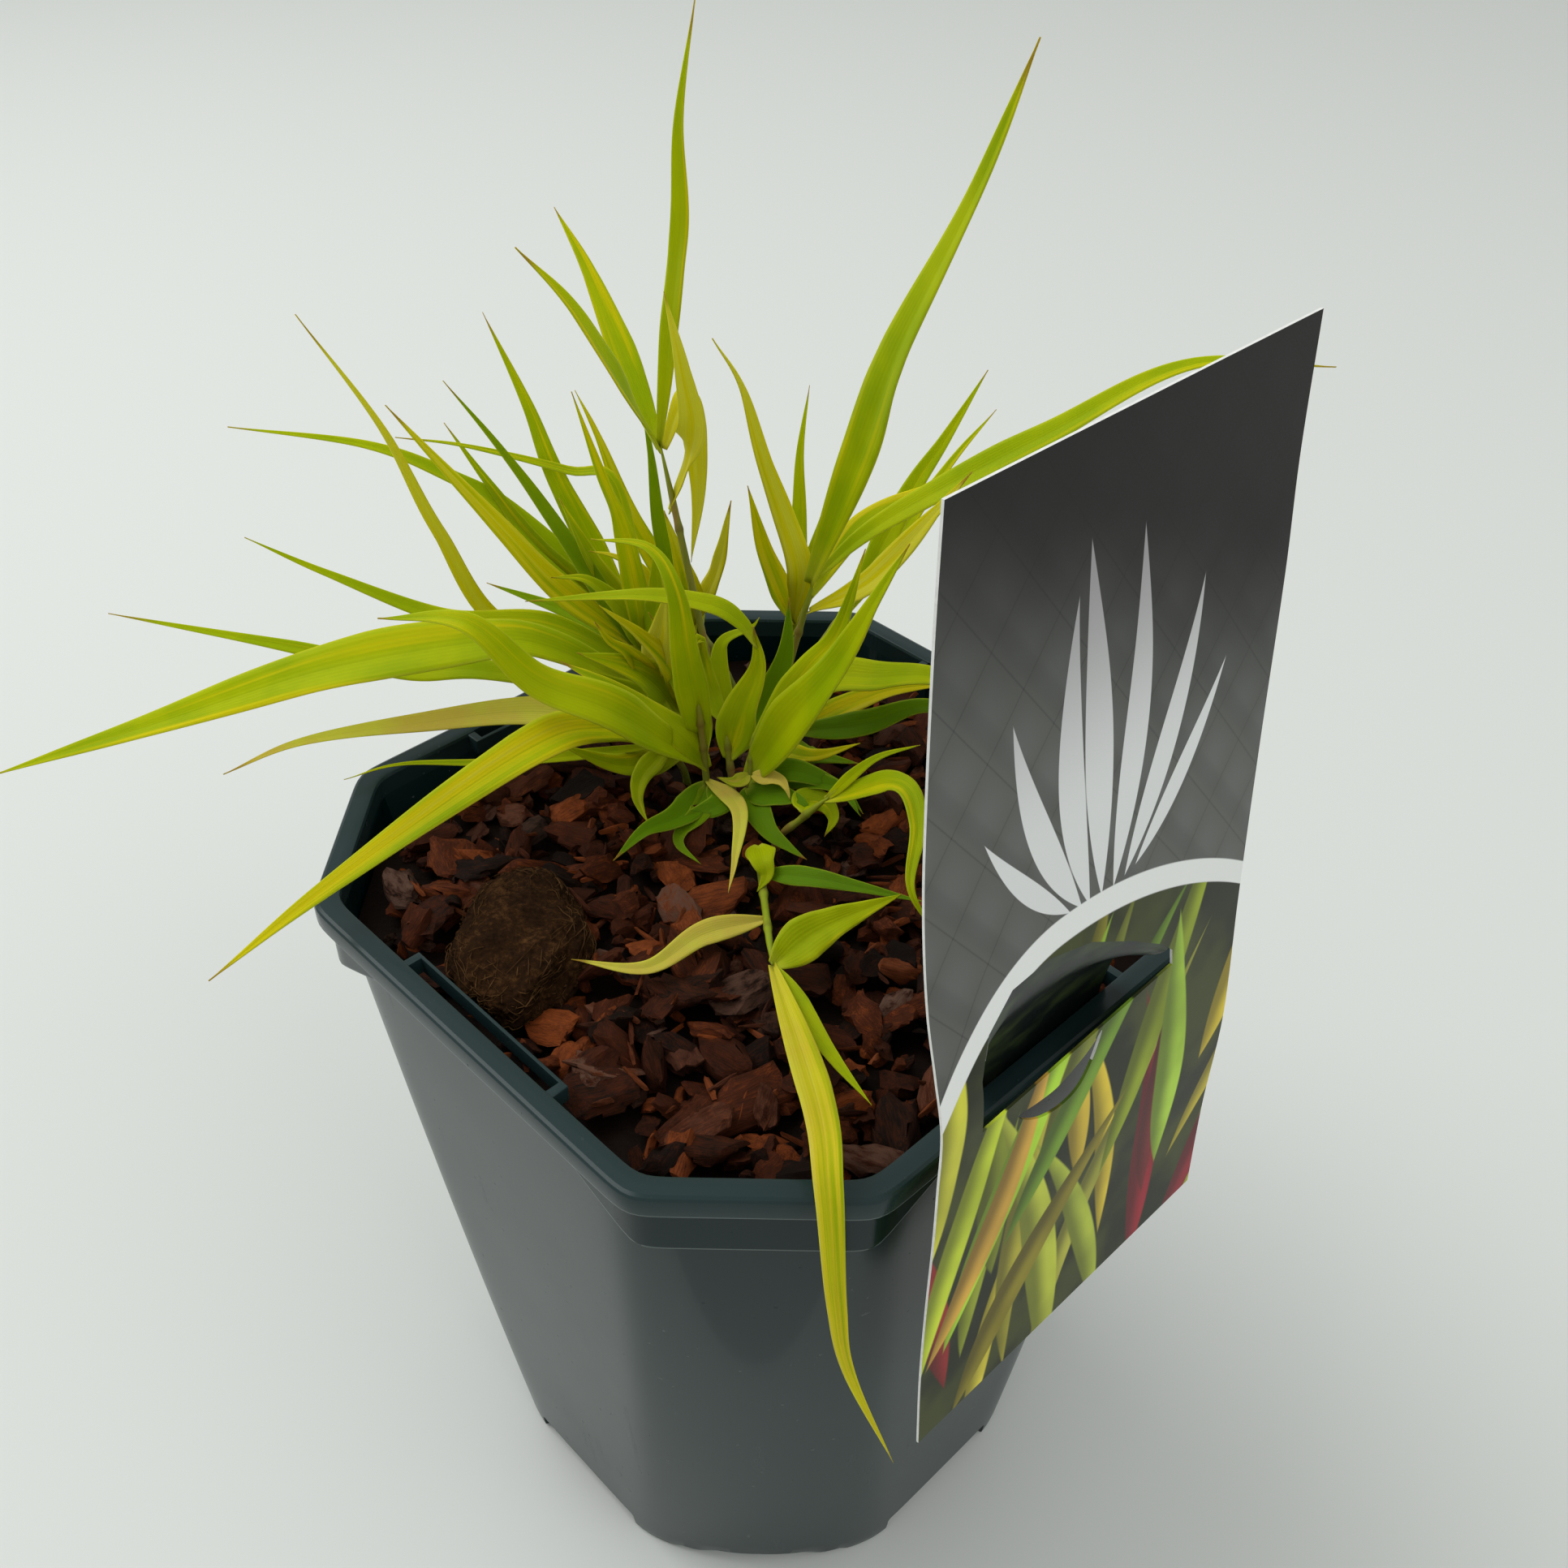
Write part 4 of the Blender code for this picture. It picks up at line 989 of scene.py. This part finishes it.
def leafPaint():
    paint = Paint("leafBlade", {"Specular IOR Level": 0.06, "Subsurface Weight": 0.4,
                                "Subsurface Radius": (0.9, 1.0, 0.05), "Subsurface Scale": 0.002})
    across, along = paint.split(paint.node("UVMap", {"uv_map": "UVMap"}))[:2]
    yellowness, dryness, seed = paint.split(paint.told("look"))
    side = abs(across - 0.5) * 2
    stripePlace = paint.joined(across * 3.4 + seed * 37, along * 1.3 + seed * 11, seed * 13)
    stripes = paint.grain(stripePlace, 1.0, 2.5, 0.55)
    threadPlace = paint.joined(across * 26 + seed * 37, along * 1.6, seed * 29)
    threads = paint.grain(threadPlace, 1.0, 2, 0.6)
    veins = paint.sine(across * 75.0) * 0.5 + 0.5
    cloud = paint.grain(paint.place(), 45, 3)
    body = paint.mix(paint.soft(cloud, 0.35, 0.65), shade(*leaf["green"]), shade(*leaf["lime"]))
    # deep green for the dark look: partly the leaves' own colour, partly painted shade on low blades in the crown
    body = paint.mix(paint.soft(yellowness, -0.15, -0.9), body, shade(*leaf["deep"]))
    drift = stripes + yellowness * 0.27 + (threads - 0.5) * 0.1 + (along - 0.45) * 0.14
    body = paint.mix(paint.soft(drift, 0.55, 0.77) * 0.85, body, shade(*leaf["yellow"]))
    body = paint.mix(paint.soft(drift, 0.76, 0.95) * 0.6, body, shade(*leaf["pale"]))
    body = paint.mix(paint.soft(threads, 0.55, 0.8) * 0.16, body, shade(*leaf["deep"]))
    straw = paint.mix(paint.soft(cloud, 0.4, 0.6), shade(*leaf["straw"]), shade(*leaf["pale"]))
    body = paint.mix(paint.soft(dryness + (stripes - 0.5) * 0.7, 0.3, 0.85), body, straw)
    body = paint.mix(paint.soft(side, 0.84, 1.0) * 0.22, body, shade(*leaf["pale"]))
    body = paint.mix(paint.soft(side, 0.06, 0.0) * 0.1, body, shade(*leaf["deep"]))
    body = paint.mix(paint.soft(along, 0.12, 0.0) * 0.3, body, shade(*leaf["pale"]))
    tip = paint.soft(along + (seed - 0.5) * 0.08 + (threads - 0.5) * 0.05, 0.93, 0.995)
    body = paint.mix(tip * 0.8, body, shade(*leaf["brown"]))
    body = paint.mix(veins * 0.08, body, shade(*leaf["deep"]))
    height = veins * 0.5 + threads * 0.5 + paint.soft(side, 0.0, 0.12) * 0.6
    return paint.dress(body, 0.5 + threads * 0.14 + dryness * 0.1, height, 0.35, 0.12 * mm)


def culmPaint():
    paint = Paint("culm", {"Specular IOR Level": 0.35})
    nearJoint, nearHead, seed = paint.split(paint.told("look"))
    where = paint.place()
    patches = paint.grain(paint.stretched(where, 260, 260, 40), 1, 4)
    colour = paint.ramp(patches + (seed - 0.5) * 0.15, [(0.3, shade(*culm["green"])),
                                                        (0.5, shade(*culm["olive"])), (0.7, shade(*culm["tan"]))])
    colour = paint.mix(nearHead * 0.9, colour, shade(*leaf["green"]))
    colour = paint.mix(paint.soft(nearJoint, 0.35, 0.85) * 0.7, colour, shade(*culm["joint"]))
    return paint.dress(colour, 0.5, patches, 0.3, 0.2 * mm)


leafLook, culmLook = leafPaint(), culmPaint()


def makeBlade(name, rng, width, points, look):
    points = [Vector(point) * mm for point in points]
    faceWay = Vector(leaf["faceWay"])
    widest = leaf["late"].get(name, leaf["widest"])
    phase, waves, seed = rng.uniform(0, math.tau), rng.uniform(*leaf["waves"]), rng.random()
    sway = rng.uniform(-1, 1) * leaf["sway"]
    rowsDone = {}

    def spine(along):
        if along not in rowsDone:
            here = pathPoint(points, along)
            ahead, behind = pathPoint(points, min(1, along + 0.02)), pathPoint(points, max(0, along - 0.02))
            tangent = (ahead - behind).normalized()
            sideways = tangent.cross(faceWay).normalized()
            twist = math.radians(sway * math.sin(along * leaf["swayTurns"] + phase))
            sideways.rotate(Matrix.Rotation(twist, 3, tangent))
            rowsDone[along] = here, sideways, sideways.cross(tangent)
        return rowsDone[along]

    def place(across, along):
        here, sideways, face = spine(along)
        side = across * 2 - 1
        half = width * mm / 2 * bladeShare(along, widest)
        spread = leaf["fold"] * 2
        fold = spread + (leaf["baseFold"] - spread) * max(0, 1 - along / leaf["foldReach"]) ** 2
        rippled = leaf["ripple"] * math.sin(along * waves * math.tau + phase + side) * side * side
        rounding = leaf["rounding"] * side * side
        return here + sideways * side * half + face * half * (abs(side) * fold - rounding + rippled)

    blade = bentGrid(name, leaf["columns"], leaf["rows"], place)
    applyModifier(blade, "SOLIDIFY", thickness=leaf["thickness"], offset=0)
    yellowness, dryness = leaf["looks"][look]
    mark(blade, "look", (yellowness + rng.uniform(-0.2, 0.2), dryness + rng.uniform(-0.1, 0.1), seed))
    blade.data.materials.append(leafLook)
    return blade


def makeCulm(name, foot, head, rng):
    base = Vector((*foot, 0)) * mm
    head = Vector(head) * mm
    points = [base + Vector((0, 0, culm["foot"])), base + Vector((0, 0, (culm["mulchTop"] + 2.5) * mm)),
              base.lerp(head, 0.45) + Vector((0, 0, (culm["mulchTop"] + 4) * 0.55 * mm)), head]
    length = (head - points[0]).length
    joints = [rng.uniform(*span) for span in culm["joints"]]

    def girth(along):
        if along <= 0 or along >= 1:
            return 0
        swell = sum(math.exp(-((along - joint) * length / culm["jointLength"]) ** 2) for joint in joints)
        slim = 1.05 - 0.25 * along + culm["jointSwell"] * min(1, swell)
        return culm["radius"] * slim * min(1, 0.25 + (1 - along) * 5)

    rows = max(culm["leastRows"], round(length / culm["rowLength"]))
    tube = bentTube(name + "Culm", culm["around"], rows, lambda along: pathPoint(points, along), girth)
    spots, seed = [pathPoint(points, joint) for joint in joints], rng.random()

    def lookAt(place):
        nearJoint = max(math.exp(-((place - spot).length / culm["jointStain"]) ** 2) for spot in spots)
        return nearJoint, min(1, max(0, 1 - (head.z - place.z) / culm["greenHead"])), seed

    mark(tube, "look", [lookAt(point.co) for point in tube.data.vertices])
    tube.data.materials.append(culmLook)
    return tube


def makeStem(name, foot, head, looks, blades, rng):
    parts = [makeCulm(name, foot, head, rng)]
    parts += [makeBlade(name, rng, width, route, look) for (width, route), look in zip(blades, looks)]
    return finishPiece(joinAll(name.replace("stem_", "stem-"), parts), leafLook, "leaf", name)


# care card: a curved printed sheet with a tongue that hooks behind the rim. Curves are pairs of height and
# distance from the axis, in millimetres, for the left and the right edge

card = {
    "left": [(323, 78), (300, 79), (266, 81.3), (250, 83), (234, 85.7), (221.5, 88.9), (210, 91.7), (196, 92.5),
             (183, 93.1), (161, 93.7), (141, 94.6), (121, 96.2)],
    "right": [(323, 77.7), (298, 79.9), (277, 82.5), (243, 85.9), (205, 90.0), (173, 93.8), (146, 94.7),
              (121, 96.3)],
    "topSpan": (-43, 50), "bottomSpan": (-50, 43), "high": 323, "low": 121, "thickness": 0.55 * mm,
    "sheetGrid": (64, 140), "edgeSlope": 0.45, "lipBelow": 300 * mm,
    "window": [(-36, 202), (22.5, 202), (22, 206), (18, 210), (8, 217), (-4, 224), (-16, 227.5), (-26, 227),
               (-33, 222), (-36, 214)],
    "crescent": [(-25.5, 197.5), (-20, 192.5), (-13, 190), (-7, 190.7), (-3, 195), (-0.5, 201), (-3.5, 199),
                 (-8, 197.3), (-14, 196), (-20, 196.6)],
    "tongue": [(230, 86), (222, 85.2), (212, 82.6), (200, 80.1), (190, 78.4), (183, 78.2)],
    "tongueTop": (-34.5, 21), "tongueEnd": (-19, 19), "tongueLow": 183, "tongueGrid": (40, 30),
    "tongueEase": 0.45, "tongueThin": 0.9,
    "cutFrom": 72, "cutReach": 35, "archTop": 228.5, "archMiddle": 12, "archBends": (0.078, -0.121),
    # strokes: foot along and up the card, degrees from upright, length, width and bend
    "fan": [(-6, 232, -34, 52, 5.5, -0.004), (-4, 231, -17, 66, 6.0, -0.003), (-1, 231, -2, 76, 6.5, 0.001),
            (2, 231, 14, 72, 6.0, 0.003), (5, 232, 31, 58, 5.5, 0.004), (-9, 233, -52, 36, 4.0, -0.006),
            (8, 233, 49, 42, 4.5, 0.006)],
    "seed": 4, "strokes": 26,
    "strokeSpans": [(-60, 40), (98, 168), (-8, 40), (56, 110), (5.5, 9.5), (-0.003, 0.003)],
    "field": (92, 93, 89), "fieldTop": (6, 3, 3), "quilt": (116, 118, 119), "seam": (48, 49, 50),
    "ribs": (40, 41, 42), "fanTop": (150, 148, 150), "fanFoot": (222, 224, 224), "white": (232, 234, 232),
    "pictureDark": (34, 38, 22), "pictureOlive": (64, 70, 34),
    "leafYellow": (214, 206, 66), "leafGreen": (140, 156, 46), "leafRed": (146, 38, 48),
    "edgeDull": (205, 206, 202), "edgeWhite": (240, 240, 238),
    # the tongue's two colours are painted shade over its print
    "shadedTongueDark": (22, 29, 28), "shadedTongueGreen": (58, 70, 40),
}


def along2d(curve, height):
    # distance at a height, with smooth bends
    for i, ((high, a), (low, b)) in enumerate(zip(curve, curve[1:])):
        if height >= low or i == len(curve) - 2:
            t = (high - height) / (high - low)
            before = curve[i - 1] if i else (2 * high - low, 2 * a - b)
            after = curve[i + 2] if i + 2 < len(curve) else (2 * low - high, 2 * b - a)
            slopeA = (b - before[1]) / (before[0] - low) * (high - low)
            slopeB = (after[1] - a) / (high - after[0]) * (high - low)
            return (a * (2 * t ** 3 - 3 * t * t + 1) + slopeA * (t ** 3 - 2 * t * t + t)
                    + b * (3 * t * t - 2 * t ** 3) + slopeB * (t ** 3 - t * t))
    return curve[-1][1]


def cardPoint(t, distance, z):
    return (leanRight * t + leanOut * distance + Vector((0, 0, z))) * mm


def cardDistance(t, z):
    share = min(1, max(0, (t + 46.5) / 93))
    return along2d(card["left"], z) * (1 - share) + along2d(card["right"], z) * share


def cardStroke(paint, t, z, foot):
    # a blade-shaped mark, and the distance from its middle
    t0, z0, angle, length, width, bend = foot
    turn = math.radians(angle)
    run = (t - t0) * math.sin(turn) + (z - z0) * math.cos(turn)
    off = (t - t0) * math.cos(turn) - (z - z0) * math.sin(turn) + run * run * bend
    share = run / length
    half = (share * (1.0 - share)) * (width * 2.4) * (1.35 - share * 0.7)
    return paint.soft(half - abs(off), 0.0, 0.7) * (share < 1.0), off


def quiltedField(paint, t, z, cloud):
    rising = abs(paint.sine((t + z * 0.8) * 0.2))
    falling = abs(paint.sine((t - z * 0.8) * 0.2))
    seams = paint.soft(rising, 0.07, 0.0) + paint.soft(falling, 0.07, 0.0)
    field = paint.mix(rising * falling * (0.3 - cloud * 0.1), shade(*card["field"]), shade(*card["quilt"]))
    field = paint.mix(seams * 0.38, field, shade(*card["seam"]))
    ribs = paint.soft(paint.sine((t + z * 0.8) * 0.4), 0.2, 1.0)
    field = paint.mix(ribs * 0.16, field, shade(*card["ribs"]))
    darkness = paint.soft(z + t * 0.45 + cloud * 16, 262, 318)
    field = paint.mix(darkness * 0.95, field, shade(*card["fieldTop"]))
    masks = [cardStroke(paint, t, z, foot)[0] for foot in card["fan"]]
    pale = paint.mix(paint.soft(z, 250, 305), shade(*card["fanFoot"]), shade(*card["fanTop"]))
    return paint.mix(paint.soft(sum(masks[1:], masks[0]), 0.3, 0.7), field, pale)


def leafPicture(paint, t, z, cloud):
    rng = random.Random(card["seed"])
    clouded = paint.soft(cloud, 0.4, 0.6)
    picture = paint.mix(clouded, shade(*card["pictureDark"]), shade(*card["pictureOlive"]))
    for i in range(card["strokes"]):
        mask, off = cardStroke(paint, t, z, [rng.uniform(*span) for span in card["strokeSpans"]])
        tint = card["leafRed"] if i % 6 == 2 else card["leafGreen"] if i % 4 == 1 else card["leafYellow"]
        tint = tuple(min(255, c * rng.uniform(0.85, 1.12)) for c in tint)
        dim, dark = shade(*(c * 0.62 for c in tint)), shade(*(c * 0.5 for c in tint))
        lit = paint.mix(paint.soft(off, -2.5, 2.5), dim, shade(*tint))
        picture = paint.mix(mask, picture, paint.mix(paint.soft(cloud, 0.35, 0.7) * 0.5, lit, dark))
    return picture


def cardPaint():
    paint = Paint("printedCard", {"Specular IOR Level": 0.2})
    x, y, height = paint.split(paint.place())
    t = (x + y) * (0.70711 / mm)  # along the card, in millimetres
    z = height / mm
    where = paint.joined(t, z, 0.0)
    cloud = paint.grain(where, 0.03, 3)
    fromMiddle = t + card["archMiddle"]
    leftBend, rightBend = card["archBends"]
    arch = card["archTop"] - paint.larger(fromMiddle * leftBend, fromMiddle * rightBend) ** 2
    inPicture = paint.soft(z - arch, 0.5, -0.5)
    inBand = paint.soft(abs(z - arch - 2.6), 3.0, 2.6)
    colour = paint.mix(inPicture, quiltedField(paint, t, z, cloud), leafPicture(paint, t, z, cloud))
    colour = paint.mix(inBand, colour, shade(*card["white"]))
    fine = paint.grain(where, 2.2, 3)
    return paint.dress(colour, 0.38 + fine * 0.12, fine, 0.05, 0.1 * mm)


def edgePaint():
    paint = Paint("cardEdge", {"Roughness": 0.7})
    fine = paint.grain(paint.place(), 900, 2)
    return paint.dress(paint.mix(fine, shade(*card["edgeDull"]), shade(*card["edgeWhite"])))


def tonguePaint():
    # the tongue's print is painted over dark, as painted shade where it bends in behind the rim
    paint = Paint("cardTongue", {"Specular IOR Level": 0.3})
    bands = paint.grain(paint.stretched(paint.place(), 60, 60, 160), 1, 3)
    colour = paint.mix(paint.soft(bands, 0.45, 0.7), shade(*card["shadedTongueDark"]), shade(*card["shadedTongueGreen"]))
    return paint.dress(colour, 0.35 + bands * 0.1)


def outlineCutter(name, outline):
    start = cardPoint(0, card["cutFrom"], 0)
    bpy.ops.object.select_all(action="DESELECT")
    bpy.ops.mesh.primitive_circle_add(vertices=len(outline), fill_type="NGON")
    cutter = bpy.context.object
    cutter.name = name
    for point, (t, z) in zip(cutter.data.vertices, outline):
        point.co = start + cardPoint(t, 0, z)
    bpy.ops.object.mode_set(mode="EDIT")
    bpy.ops.mesh.select_all(action="SELECT")
    bpy.ops.mesh.extrude_region_move(TRANSFORM_OT_translate={"value": tuple(leanOut * card["cutReach"] * mm)})
    bpy.ops.mesh.select_all(action="SELECT")
    bpy.ops.mesh.normals_make_consistent(inside=False)
    bpy.ops.object.mode_set(mode="OBJECT")
    return cutter


def rounded(outline, steps=5):
    # more points on a closed outline, on the smooth curve through them
    made = []
    for i in range(len(outline)):
        a, b, c, d = (Vector(outline[(i + k) % len(outline)]) for k in (-1, 0, 1, 2))
        for step in range(steps):
            made.append(tuple(smoothPoint(a, b, c, d, step / steps)))
    return made


def archHeight(t):
    # top of the window at a place along the card
    top = card["window"][2:]
    for (rightT, rightZ), (leftT, leftZ) in zip(top, top[1:]):
        if leftT <= t <= rightT:
            return leftZ + (rightZ - leftZ) * (t - leftT) / (rightT - leftT)
    return top[0][1] if t > 0 else top[-1][1]


def sheetPlace(across, along):
    z = card["high"] + (card["low"] - card["high"]) * along
    left = card["topSpan"][0] + (card["bottomSpan"][0] - card["topSpan"][0]) * along
    right = card["topSpan"][1] + (card["bottomSpan"][1] - card["topSpan"][1]) * along
    t = left + (right - left) * across
    return cardPoint(t, cardDistance(t, z), z)


def tonguePlace(across, along):
    (topLeft, topRight), (endLeft, endRight) = card["tongueTop"], card["tongueEnd"]
    topT = topLeft + (topRight - topLeft) * across
    topZ = archHeight(topT) + 0.4
    z = topZ + (card["tongueLow"] - topZ) * along
    t = topT + (endLeft + (endRight - endLeft) * across - topT) * along
    ease = min(1, along / card["tongueEase"])
    ease = ease * ease * (3 - 2 * ease)
    distance = cardDistance(topT, topZ) * (1 - ease) + along2d(card["tongue"], z) * ease
    return cardPoint(t, distance - 0.2, z)


def makeCard():
    sheet = bentGrid("careCard", *card["sheetGrid"], sheetPlace)
    applyModifier(sheet, "SOLIDIFY", thickness=card["thickness"], offset=0)
    for name, outline in (("windowCutter", card["window"]), ("crescentCutter", rounded(card["crescent"]))):
        cutter = outlineCutter(name, outline)
        applyModifier(sheet, "BOOLEAN", object=cutter, operation="DIFFERENCE", solver="EXACT")
        bpy.data.objects.remove(cutter)
    tongue = bentGrid("tongue", *card["tongueGrid"], tonguePlace)
    applyModifier(tongue, "SOLIDIFY", thickness=card["thickness"] * card["tongueThin"], offset=0)
    sheet.data.materials.append(cardPaint())
    sheet.data.materials.append(edgePaint())
    tongue.data.materials.append(tonguePaint())
    whole = joinAll("careCard", [sheet, tongue])
    for face in whole.data.polygons:
        # the lower lip stays printed, as it is pressed on the rim
        lowerLip = face.normal.z > 0.5 and face.center.z < card["lipBelow"]
        if abs(face.normal.dot(leanOut)) < card["edgeSlope"] and face.area < 3e-6 and not lowerLip:
            face.material_index = 1
    return finishPiece(whole, None, "printed_card", "care_card", sharp=40)


feet = []
for foot, head, looks, blades in stems.values():
    feet += [Vector(foot).lerp(Vector(head[:2]), share) * mm for share in (0, 0.3, 0.6)]
makeMulch(feet)
makeClod()
leafRng = random.Random(leaf["seed"])
for stemName, (foot, head, looks, blades) in stems.items():
    makeStem(stemName, foot, head, looks, blades, leafRng)
makeCard()

print("scene ready")
